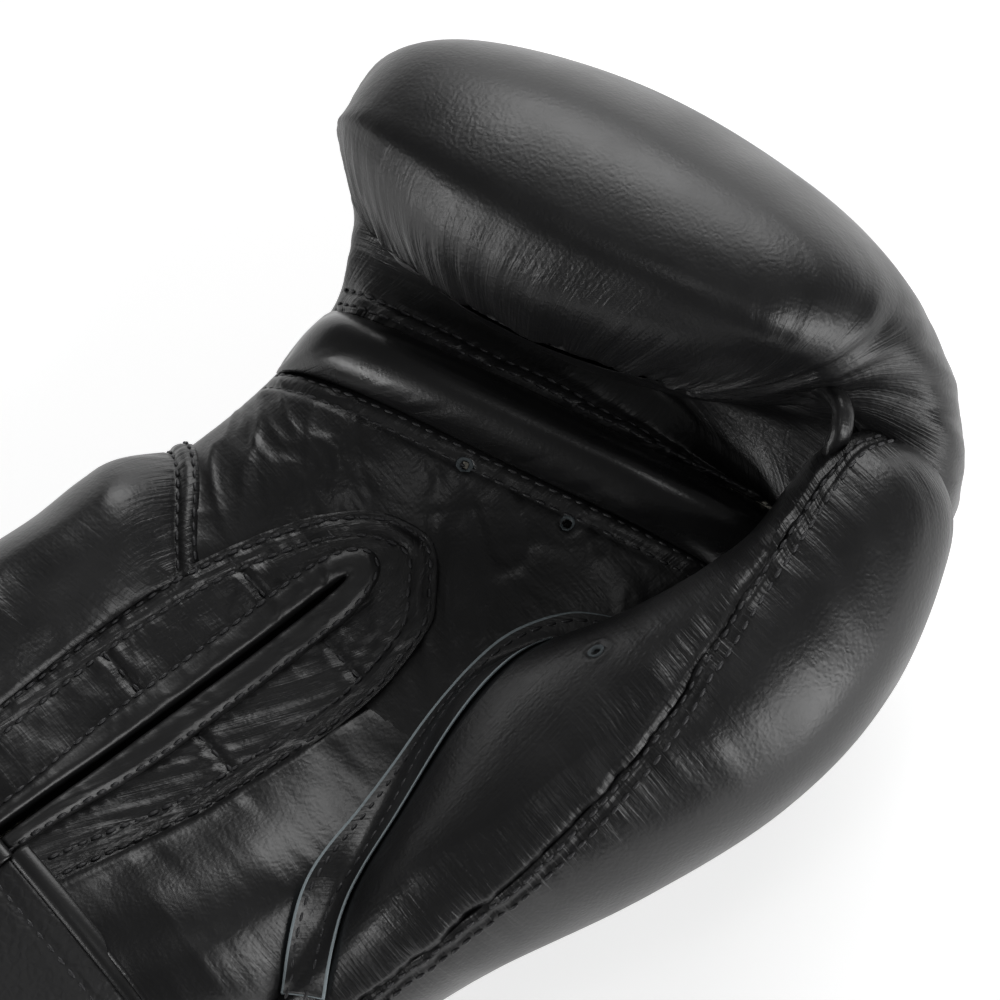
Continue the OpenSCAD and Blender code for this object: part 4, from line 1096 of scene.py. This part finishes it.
# name, first and last angle, riding, CAD nodes it stands for
STRAP_RUNS = [
    ("root", 156.0, ROOT_ANGLE, ("strap", "glove", 162.0, 173.0), ["strap_root"], []),
    ("flap", 88.0, 156.0, ("strap",), ["strap_flap"], ["flap_edging"]),
    ("end", END_ANGLE, 88.0, ("strap_tip", "strap", 78.0, 83.0), ["strap_end"], ["end_edging"]),
]
for run, a0, a1, riding, nodes, edging_nodes in STRAP_RUNS:
    is_end = run == "end"
    angles = even(lambda t: hand_point(MID_STRAP, t), a0, a1, int((a1 - a0) * 1.6) + 2)
    down = np.linspace(0.3, STRAP_WIDTH - 0.3, 2 * STRAP_MIDDLE_ROW + 1)
    Y, A = spread_out(down, angles)
    if is_end:
        # the free end is cut with rounded corners
        inset = corner_inset(Y)
        length = distances(hand_point(below_edge(Y), A))[0][:, -1:]
        A = a0 + inset / length * (a1 - a0) * 0.96 + (A - a0) * (1 - inset / length * 0.96)
    across, along = distances(strap_place(Y, A, 0))
    rim = np.minimum(down, STRAP_WIDTH - down)[:, None]
    body_lift = 0.35 * lattice(across / 16, along / 12, 191) * ramp(rim, 2, 10)
    body_lift -= 0.35 * bell(rim - STRAP_ROW, 0.7)
    over = strap_place(Y, A, STRAP_THICK + body_lift)
    y_field = np.broadcast_to(down[:, None], A.shape)
    for d in (STRAP_ROW, STRAP_WIDTH - STRAP_ROW):
        seam("strap_" + run, over, y_field, d, 0)
    hide = shell("strap_" + run + "_leather", over, strap_place(Y, A, 0),
                 uv=(across, along), gather=(0.1, 0.1))
    hide.data.materials.append(pebbled)
    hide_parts(*nodes)
    straps_bend(hide, riding)

    # smooth edging, folded over both long edges and round the free end
    loop = [(EDGING_WIDTH, STRAP_THICK + 0.35), (EDGING_WIDTH - 0.5, STRAP_THICK + 0.75),
            (2.4, STRAP_THICK + 1.1), (0.9, STRAP_THICK + 1.0), (-0.35, STRAP_THICK + 0.2),
            (-0.7, STRAP_THICK / 2), (-0.35, -0.1), (0.8, -0.55), (EDGING_WIDTH - 0.4, -0.5),
            (EDGING_WIDTH, -0.1)]
    loop = line_through(loop, 22)
    core = np.stack([np.clip(loop[:, 0], 0.35, EDGING_WIDTH),
                     np.clip(loop[:, 1], 0.05, STRAP_THICK - 0.05)], 1)
    if is_end:
        straight = np.linspace(1, 0, 60)
        u_line = np.r_[straight, np.zeros(50), straight[::-1]]
        v_line = np.r_[np.zeros(60), np.linspace(0, 1, 52)[1:-1], np.ones(60)]
        whole = float(across[STRAP_MIDDLE_ROW, -1])
        flat_line = np.stack([u_line * whole, v_line * STRAP_WIDTH], 1)
        # round the corners of the flat path
        at_end = flat_line[:, 0] < 1e-6
        flat_line[at_end, 0] = corner_inset(flat_line[at_end, 1])
        flat_line[~at_end, 0] = np.maximum(flat_line[~at_end, 0], STRAP_CORNER)
        keepers = np.r_[True, np.linalg.norm(np.diff(flat_line, axis=0), axis=1) > 0.2]
        flat_line = line_through(flat_line[keepers], 190)
        tangent = unit(np.gradient(flat_line, axis=0))
        inward = np.stack([tangent[:, 1], -tangent[:, 0]], 1) * -1
        grids = []
        for prof in (loop, core):
            spot = flat_line[:, None] + inward[:, None] * prof[None, :, :1]
            table_u = across[STRAP_MIDDLE_ROW]
            ang = np.interp(np.clip(spot[..., 0], -2, whole), table_u, angles)
            first_angle, first_mm = angles[1] - angles[0], table_u[1] - table_u[0]
            ang = ang + np.minimum(spot[..., 0], 0) * first_angle / first_mm
            grids.append(strap_place(spot[..., 1], ang, np.broadcast_to(prof[None, :, 1], ang.shape)))
        bands = [("", grids)]
    else:
        bands = []
        for label, far in (("_upper", False), ("_lower", True)):
            grids = []
            for prof in (loop, core):
                y = STRAP_WIDTH - prof[:, 0] if far else prof[:, 0]
                YY, AA = spread_out(y, angles)
                grid = strap_place(YY, AA, np.broadcast_to(prof[:, 1:2], AA.shape))
                grids.append((grid[::-1] if far else grid).transpose(1, 0, 2)[::-1])
            bands.append((label, grids))
    for label, (outer, inner) in bands:
        u, v = distances(outer)
        trim = shell("strap_" + run + "_edging" + label, outer, inner, uv=(u, v), gather=(0.2, 0))
        trim.data.materials.append(binding_leather)
        if edging_nodes and label != "_lower":
            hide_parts(*edging_nodes)
        straps_bend(trim, riding)

# ---------------------------------------------------------------- hook and loop tape
# Loop tape is sewn flat on the cuff under the strap's end, and hook tape on the end itself.
# Both are narrow woven tapes: one has a soft pile, the other rows of stiff moulded hooks.


def tape_place(y, angle, off):
    return hand_skin(below_edge(y), angle, off)


def speckled(name, dark, light, depth=None, noise=None, **settings):
    """Finish with a fine noise in its colour and, with a depth, in its surface."""
    material, tree, shader = new_finish(name, **settings)
    place = node(tree, "ShaderNodeTexCoord")
    specks = node(tree, "ShaderNodeTexNoise", **noise)
    tree.links.new(place.outputs["Object"], specks.inputs["Vector"])
    two_tones(tree, specks.outputs["Fac"], dark, light, shader)
    if depth is not None:
        raised(tree, specks.outputs["Fac"], depth, shader)
    return material


pile = speckled("loop pile", (0.006, 0.006, 0.006), (0.05, 0.05, 0.052), 0.0006,
                {"Scale": 1500.0, "Detail": 4.0, "Roughness": 0.7}, Roughness=0.95, Sheen_Weight=0.6)

Y, A = spread_out(np.linspace(4.5, 46.5, 60),
                  even(lambda t: hand_point(MID_STRAP, t), END_ANGLE, TAPE_ANGLE, 70))
across, along = distances(tape_place(Y, A, 0.3))
rim = np.minimum(np.minimum(across, across[:, -1:] - across), np.minimum(along, along[-1:] - along))
tuft = 0.12 * lattice(across / 1.1, along / 1.1, 201) + 0.25 * ramp(rim, 0.2, 2.0) - 0.25
loops = shell("loop_tape", tape_place(Y, A, 1.45 + tuft), tape_place(Y, A, 0.3),
              uv=(across, along), gather=(0, 0))
dress(loops, pile, "loop_tape")

hook_plastic = speckled("hook tape", (0.008, 0.008, 0.009), (0.03, 0.03, 0.032),
                        noise={"Scale": 900.0, "Detail": 2.0}, Roughness=0.45)
Y, A = spread_out(np.linspace(6.0, 45.0, 40),
                  even(lambda t: hand_point(MID_STRAP, t), END_ANGLE + 5, TAPE_ANGLE - 5, 40))
across, along = distances(tape_place(Y, A, 2.4))
hooks = shell("hook_tape", tape_place(Y, A, 3.0), tape_place(Y, A, 2.45), uv=(across, along),
              gather=(0, 0))
dress(hooks, hook_plastic, "hook_tape", body="strap_tip")

# ---------------------------------------------------------------- vents
# Three small holes are punched through the hide of the palm and of the thumb's inner panel.
# Their cut rims are undyed and show grey; below them black hide closes each hole as painted shade
# over the pale foam.


VENT_AROUND = 2.6  # distance at which the hide's height and slope are taken, mm
VENT_SIDES, CUT_RINGS = 32, 4  # the first rings are the grey cut, the others a black bottom that is painted shade
VENT_PROFILE = ((2.05, -0.75), (1.75, 0.02), (1.45, 0.12), (1.15, -0.05), (0.95, -0.5),
                (0.85, -1.4), (0.05, -1.5))  # radius and height of each ring, mm


def punched_rim(name, surface, x, y):
    """Cut rim of one hole and a black bottom of painted shade, laid on the hide as seen from above.
    """
    angles = np.linspace(0, 2 * np.pi, VENT_SIDES + 1)[:-1]
    spots = np.stack([x + VENT_AROUND * np.cos(angles), y + VENT_AROUND * np.sin(angles)], 1)
    heights = drop(surface, spots[:, 0], spots[:, 1])
    sloping = np.column_stack([spots - [x, y], np.ones(VENT_SIDES)])
    plane = np.linalg.lstsq(sloping, heights, rcond=None)[0]
    normal = unit(np.array([-plane[0], -plane[1], 1.0]))
    first = unit(np.cross([0.0, 1.0, 0.0], normal))
    second = np.cross(normal, first)
    middle = np.array([x, y, plane[2] - 0.25])
    rough = 1 + 0.09 * lattice(np.linspace(0, 9, VENT_SIDES + 1)[:-1], 0.5, 221)
    turn = np.cos(angles)[:, None] * first + np.sin(angles)[:, None] * second
    rings = []
    for radius, height in VENT_PROFILE:
        rings.append(middle + radius * rough[:, None] * turn + height * normal)
    outer = np.array(rings)
    u, v = distances(outer)
    rim = shell(name, outer, outer - 0.4 * normal, uv=(u, v), gather=(0, 0), wrap=True)
    rim.data.materials.append(vent_edge)
    rim.data.materials.append(glove_leather)
    # the hole's inner wall and bottom take the black hide: painted shade in place of the pale foam
    # under it
    for face in rim.data.polygons:
        if face.index >= CUT_RINGS * VENT_SIDES:
            face.material_index = 1
    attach(rim, "glove")


vent_edge = leather("punched edge", (0.045, 0.055, 0.06), 0.7, 0.00008, 0.6, 0.0003)
for count, (vx, vy) in enumerate(VENTS):
    punched_rim("palm_vent_%d" % (count + 1), surface_of(palm_leather), vx, vy)
punched_rim("thumb_vent", surface_of(thumb_pieces[1]), *THUMB_VENT)

# ---------------------------------------------------------------- padding and linings
# Under the hide lie a firm and a soft layer of foam, thinner foam on the palm side, and the
# linings of the hand's and the thumb's spaces, cut through where the thumb leaves the palm.


def foam(name, colour):
    """Open-celled foam: small dark pores in its colour and its surface."""
    material, tree, shader = new_finish(name, Roughness=0.9)
    place = node(tree, "ShaderNodeTexCoord")
    pores = node(tree, "ShaderNodeTexVoronoi", Scale=900.0, Randomness=1.0)
    tree.links.new(place.outputs["Object"], pores.inputs["Vector"])
    two_tones(tree, pores.outputs["Distance"], [c * 0.5 for c in colour], colour, shader)
    raised(tree, pores.outputs["Distance"], 0.0003, shader)
    return material


firm_foam = foam("firm foam", (0.12, 0.12, 0.125))
soft_foam = foam("soft foam", (0.75, 0.72, 0.62))
FIRM_SHARE = 0.5  # the firm layer's share of the padding's depth
FOAM_CLEAR = 1.1  # room for the lining inside the foam, mm


def padding_point(s, angle, share):
    """Point in the padding: share 0 lies under the hide, share 1 on the lining."""
    outside = hand_skin(s, angle, -LEATHER - HIDE_GAP)
    return outside * (1 - share) + hollow_point(s, angle, FOAM_CLEAR) * share


space_s, space_a = spread_out(np.linspace(0, 7, 60), full_turn(48))
thumb_way = shell("thumb_way", thumb_point(THUMB_SPACE, space_s, space_a, FOAM_CLEAR),
                  thumb_point(THUMB_SPACE, space_s, space_a, 0.9), wrap=True)
thumb_way_surface = surface_of(thumb_way)
bpy.data.objects.remove(thumb_way)


def clear_of_thumb(grid):
    """Cells of a grid that lie outside the thumb's way out of the palm."""
    inside = depth_in(thumb_way_surface, grid) < 0
    return ~(inside[:-1, :-1] | inside[1:, 1:])


# name, first and last angle, last station, outer and inner share of the depth, finish, slot
layers = [
    ("firm_foam", 165, 375, TIP, 0.0, FIRM_SHARE, firm_foam, "firm_padding"),
    ("soft_foam", 165, 375, TIP, FIRM_SHARE + 0.02, 1.0, soft_foam, "soft_padding"),
    ("palm_foam", 20.5, 163.5, 12.0, 0.045, 1.0, soft_foam, "soft_padding")]
for name, a0, a1, s1, out, deep, stuff, slot in layers:
    S, A = spread_out(even(lambda t: hand_point(t, BACK_SIDE), WRIST + 0.03, s1, 90),
                       even(lambda t: hand_point(5.0, t), a0, a1, 72))
    # the palm's foam thins out at its index side and under the seam of roll and panel
    thin = 0.4 * (1 - ramp(A, a0, a0 + 14)) + 0.4 * bell(S - SEAM_HIGH, 0.16)
    thin = thin[..., None] if name == "palm_foam" else 0
    outer, inner = padding_point(S, A, out + thin), padding_point(S, A, deep)
    keep = clear_of_thumb((outer + inner) / 2)
    if name == "palm_foam":
        near_slit = np.abs(outer[:-1, :-1, 0] + outer[1:, 1:, 0]) / 2 < 2 * half_slit
        keep &= ~(near_slit & (outer[:-1, :-1, 1] < SLIT_LENGTH))
    layer = shell(name, outer, inner, keep, uv=distances(outer))
    dress(layer, stuff, name)

S, A = spread_out(np.linspace(0, CUFF_TOP - 0.02, 24), cuff_angles(150))
A = 90 + (A - 90) * 0.9962 + 0.68
cuff_foam = shell("cuff_foam", padding_point(S, A, 0.0), padding_point(S, A, 1.0),
                  uv=distances(hand_point(S, A)))
S, A = spread_out(np.linspace(SEAM_LOW + 0.1, SEAM_HIGH - 0.1, 24),
                  even(lambda t: hand_point(6.5, t), 26, 154, 60))
swell = np.maximum(-0.6, ROLL_HEIGHT * roll_swell(S, A) - LEATHER - HIDE_GAP)
roll_core = shell("grip_roll_core", hand_skin(S, A, swell), hand_skin(S, A, -1.3),
                  uv=distances(hand_point(S, A)))
for piece, name in ((cuff_foam, "cuff_foam"), (roll_core, "grip_roll_core")):
    dress(piece, soft_foam, name)
for name, (a0, a1, high, seed) in PADS.items():
    S, A = spread_out(np.linspace(PAD_FROM + 0.06, PAD_TO - 0.3, 36),
                       even(lambda t: hand_point(3.0, t), a0 + 9, a1 - 9, 40))
    h = np.maximum(0.6, 0.75 * high * pad_swell(S, A, a0 + 6, a1 - 6) - 0.8)
    piece = shell(name + "_foam", hand_skin(S, A, h), hand_skin(S, A, 0.2),
                  uv=distances(hand_point(S, A)))
    dress(piece, soft_foam, name + "_foam")

# the thumb's foam keeps the form of its solid, rounded off
thumb_foam = put("sewn_thumb_foam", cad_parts["thumb_foam"].data.copy())
weld = thumb_foam.modifiers.new("weld", "WELD")
weld.merge_threshold = 0.00002
round_off = thumb_foam.modifiers.new("round", "REMESH")
round_off.mode, round_off.voxel_size = "VOXEL", 0.0022
calm = thumb_foam.modifiers.new("calm", "SMOOTH")
calm.factor, calm.iterations = 0.5, 6
graph = bpy.context.evaluated_depsgraph_get()
smooth_mesh = bpy.data.meshes.new_from_object(thumb_foam.evaluated_get(graph))
for vertex in smooth_mesh.vertices:
    vertex.co -= vertex.normal * 0.0009
thumb_foam.modifiers.clear()
thumb_foam.data = smooth_mesh
smooth_mesh.shade_smooth()
smooth_mesh.materials.clear()
dress(thumb_foam, soft_foam, "thumb_foam")

S, A = spread_out(np.r_[np.linspace(WRIST, TIP, 130), TIP],
                  even(lambda t: hand_point(4.0, t), 0, 360, 161)[:-1])
outer, inner = hollow_point(S, A, LINING), hollow_point(S, A)
closing = outer[-1].mean(0)
outer[-1] = closing + (outer[-1] - closing) * 0.02
inner[-1] = closing + (inner[-1] - closing) * 0.01 - [0, 0.5, 0]
keep = np.ones((130, 160), bool)
inside = depth_in(thumb_way_surface, outer) < 0.2
keep &= ~(inside[:-1] & np.roll(inside, -1, 1)[1:])
upper = (np.sin(np.radians(A)) > 0.5)[:-1]
keep &= ~(upper & (np.abs(outer[:-1, :, 0]) < 2.6) & (outer[:-1, :, 1] < SLIT_LENGTH))
hand_lining = shell("hand_lining", outer, inner, keep, uv=distances(outer), wrap=True)
S, A = spread_out(np.linspace(0, 7, 70), full_turn(64))
outer, inner = thumb_point(THUMB_SPACE, S, A, LINING), thumb_point(THUMB_SPACE, S, A)
hollow_s, hollow_a = spread_out(np.linspace(1, TIP, 90), full_turn(96))
hollow = shell("hollow", hollow_point(hollow_s, hollow_a, FOAM_CLEAR),
               hollow_point(hollow_s, hollow_a), wrap=True)
hollow_surface = surface_of(hollow)
bpy.data.objects.remove(hollow)
keep = depth_in(hollow_surface, outer)[:-1] > 0
thumb_lining = shell("thumb_lining", outer, inner, keep, uv=distances(outer), wrap=True)
for piece, name in ((hand_lining, "hand_lining"), (thumb_lining, "thumb_lining")):
    dress(piece, lining_cloth, name)

# ---------------------------------------------------------------- stitches
# Bonded black thread, locked in even stitches that sink a little into the hide.


def stitch_tree():
    """Node group that lays a stretched ball of thread on every stitch of a seam line."""
    tree = bpy.data.node_groups.new("Stitches", "GeometryNodeTree")
    face = tree.interface
    face.new_socket("Seam", in_out="INPUT", socket_type="NodeSocketGeometry")
    for label, value in (("Pitch", 0.0032), ("Stitch Length", 0.0024), ("Thread Width", 0.0008)):
        socket = face.new_socket(label, in_out="INPUT", socket_type="NodeSocketFloat")
        socket.default_value = value
    face.new_socket("Thread", in_out="INPUT", socket_type="NodeSocketMaterial")
    face.new_socket("Stitches", in_out="OUTPUT", socket_type="NodeSocketGeometry")
    link = tree.links.new
    given = node(tree, "NodeGroupInput")
    line = node(tree, "GeometryNodeMeshToCurve")
    spaced = node(tree, "GeometryNodeResampleCurve", mode="LENGTH")
    ball = node(tree, "GeometryNodeMeshUVSphere", Segments=8, Rings=5, Radius=0.5)
    size = node(tree, "ShaderNodeCombineXYZ")
    stretch = node(tree, "GeometryNodeTransform")
    along = node(tree, "GeometryNodeInputTangent")
    up = node(tree, "GeometryNodeInputNamedAttribute", data_type="FLOAT_VECTOR")
    up.inputs["Name"].default_value = "up"
    turn_x = node(tree, "FunctionNodeAlignRotationToVector", axis="X")
    turn_z = node(tree, "FunctionNodeAlignRotationToVector", axis="Z", pivot_axis="X")
    skew = node(tree, "FunctionNodeRandomValue", data_type="FLOAT")
    skew.inputs["Seed"].default_value = 4
    for socket in skew.inputs:
        if socket.name == "Min" and socket.type == "VALUE":
            socket.default_value = 0.86
        if socket.name == "Max" and socket.type == "VALUE":
            socket.default_value = 1.1
    placed = node(tree, "GeometryNodeInstanceOnPoints")
    real = node(tree, "GeometryNodeRealizeInstances")
    paint = node(tree, "GeometryNodeSetMaterial")
    done = node(tree, "NodeGroupOutput")
    link(given.outputs["Seam"], line.inputs["Mesh"])
    link(line.outputs["Curve"], spaced.inputs["Curve"])
    link(given.outputs["Pitch"], spaced.inputs["Length"])
    link(given.outputs["Stitch Length"], size.inputs["X"])
    link(given.outputs["Thread Width"], size.inputs["Y"])
    link(given.outputs["Thread Width"], size.inputs["Z"])
    link(ball.outputs["Mesh"], stretch.inputs["Geometry"])
    link(size.outputs["Vector"], stretch.inputs["Scale"])
    link(along.outputs["Tangent"], turn_x.inputs["Vector"])
    link(turn_x.outputs["Rotation"], turn_z.inputs["Rotation"])
    link(up.outputs["Attribute"], turn_z.inputs["Vector"])
    link(spaced.outputs["Curve"], placed.inputs["Points"])
    link(stretch.outputs["Geometry"], placed.inputs["Instance"])
    link(turn_z.outputs["Rotation"], placed.inputs["Rotation"])
    link(skew.outputs[1], placed.inputs["Scale"])
    link(placed.outputs["Instances"], real.inputs["Geometry"])
    link(real.outputs["Geometry"], paint.inputs["Geometry"])
    link(given.outputs["Thread"], paint.inputs["Material"])
    link(paint.outputs["Geometry"], done.inputs["Stitches"])
    return tree


thread = speckled("bonded thread", (0.008, 0.008, 0.009), (0.035, 0.035, 0.038), 0.0001,
                  {"Scale": 2600.0, "Detail": 2.0}, Roughness=0.5)
stitches = stitch_tree()
PITCH, STITCH_LENGTH, THREAD_WIDTH = 0.0032, 0.0025, 0.00085  # m
THREAD_RISE, LONGEST_JUMP = 0.12, 6  # mm over the hide, and the gap over which no thread runs
riding_of = {"strap_" + run: riding for run, _, _, riding, _, _ in STRAP_RUNS}
for group, lines in seam_lines.items():
    points, ups, edges = [], [], []
    for line, up in lines:
        if len(line) < 4:
            continue
        broken = np.linalg.norm(np.diff(line, axis=0), axis=1) > LONGEST_JUMP
        at = len(points)
        points += to_frame(line + up * THREAD_RISE).tolist()
        ups += up.tolist()
        edges += [(at + i, at + i + 1) for i in range(len(line) - 1) if not broken[i]]
    mesh = bpy.data.meshes.new("stitches_" + group)
    mesh.from_pydata(points, edges, [])
    field = mesh.attributes.new("up", "FLOAT_VECTOR", "POINT")
    field.data.foreach_set("vector", np.array(ups, np.float32).ravel())
    sewn = put("stitches_" + group, mesh)
    modifier = sewn.modifiers.new("sew", "NODES")
    modifier.node_group = stitches
    sockets = {s.name: s.identifier for s in stitches.interface.items_tree if s.in_out == "INPUT"}
    modifier[sockets["Pitch"]] = PITCH
    modifier[sockets["Stitch Length"]] = STITCH_LENGTH
    modifier[sockets["Thread Width"]] = THREAD_WIDTH
    modifier[sockets["Thread"]] = thread
    graph = bpy.context.evaluated_depsgraph_get()
    finished = bpy.data.meshes.new_from_object(sewn.evaluated_get(graph))
    sewn.modifiers.clear()
    sewn.data = finished
    finished.shade_smooth()
    if group in riding_of:
        straps_bend(sewn, riding_of[group])
    else:
        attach(sewn, "glove")

# ---------------------------------------------------------------- stage
# A plain white table under soft lamps. It isn't part of the glove.

FLOOR = 6.0  # half the table's side, m
floor_mesh = bpy.data.meshes.new("floor")
floor_mesh.from_pydata([(-FLOOR, -FLOOR, 0), (FLOOR, -FLOOR, 0), (FLOOR, FLOOR, 0),
                        (-FLOOR, FLOOR, 0)], [], [(0, 1, 2, 3)])
floor = put("floor", floor_mesh)
white, tree, base = new_finish("white table", Base_Color=(0.86, 0.86, 0.86, 1), Roughness=0.7)
glow = node(tree, "ShaderNodeEmission", Strength=0.55)
seen = node(tree, "ShaderNodeLightPath")
dark = node(tree, "ShaderNodeEmission", Strength=0.0)
choose = node(tree, "ShaderNodeMixShader")
add = node(tree, "ShaderNodeAddShader")
mirrored = node(tree, "ShaderNodeMath", operation="MAXIMUM")
through = node(tree, "ShaderNodeMath", operation="MAXIMUM")
tree.links.new(seen.outputs["Is Camera Ray"], mirrored.inputs[0])
tree.links.new(seen.outputs["Is Glossy Ray"], mirrored.inputs[1])
tree.links.new(mirrored.outputs[0], through.inputs[0])
tree.links.new(seen.outputs["Is Transmission Ray"], through.inputs[1])
tree.links.new(through.outputs[0], choose.inputs["Fac"])
tree.links.new(dark.outputs[0], choose.inputs[1])
tree.links.new(glow.outputs[0], choose.inputs[2])
tree.links.new(base.outputs[0], add.inputs[0])
tree.links.new(choose.outputs[0], add.inputs[1])
tree.links.new(add.outputs[0], tree.nodes["Material Output"].inputs["Surface"])
floor_mesh.materials.append(white)

world = bpy.data.worlds.new("studio")
bpy.context.scene.world = world
world.use_nodes = True
world.node_tree.nodes["Background"].inputs["Color"].default_value = (1, 1, 1, 1)
world.node_tree.nodes["Background"].inputs["Strength"].default_value = 0.11


def lamp(name, place, aim, size, power):
    """Soft rectangular lamp that stands at a place and shines at another."""
    light = bpy.data.lights.new(name, "AREA")
    light.shape = "RECTANGLE"
    light.size, light.size_y = size
    light.energy = power
    made = put(name, light)
    made.location = place
    made.rotation_euler = (Vector(place) - Vector(aim)).to_track_quat("Z", "Y").to_euler()


lamp("fist softbox", (-0.8, 1.1, 0.72), (0, 0.08, 0.06), (1.2, 0.8), 15.0)
lamp("thumb softbox", (1.25, 0.45, 0.5), (0.03, 0.05, 0.06), (0.55, 1.4), 15.0)
lamp("wrist softbox", (-0.35, -1.15, 0.4), (0, 0.08, 0.06), (0.7, 0.2), 4.5)
lamp("top softbox", (0.12, -0.1, 1.45), (0, 0.02, 0.05), (0.2, 0.2), 0.7)

towards = Vector((0.30, -0.15, 1.0)).normalized()
length_way = Vector((0, 1, 0))
length_way = (length_way - towards * length_way.dot(towards)).normalized()
side_way = towards.cross(length_way)
tilt = math.radians(39)
VIEW_RIGHT = length_way * math.cos(tilt) - side_way * math.sin(tilt)
VIEW_UP = length_way * math.sin(tilt) + side_way * math.cos(tilt)
TARGET = Vector((-0.00514, 0.05193, 0.070)) + 0.0012 * VIEW_RIGHT - 0.0002 * VIEW_UP
camera_data = bpy.data.cameras.new("camera")
camera_data.lens, camera_data.sensor_width = 209.0, 36.0
camera = put("camera", camera_data)
CAMERA_AWAY = 1.2  # m
camera.matrix_world = Matrix((
    (VIEW_RIGHT.x, VIEW_UP.x, towards.x, TARGET.x + towards.x * CAMERA_AWAY),
    (VIEW_RIGHT.y, VIEW_UP.y, towards.y, TARGET.y + towards.y * CAMERA_AWAY),
    (VIEW_RIGHT.z, VIEW_UP.z, towards.z, TARGET.z + towards.z * CAMERA_AWAY),
    (0, 0, 0, 1)))
bpy.context.scene.camera = camera
bpy.context.scene.view_settings.view_transform = "Standard"
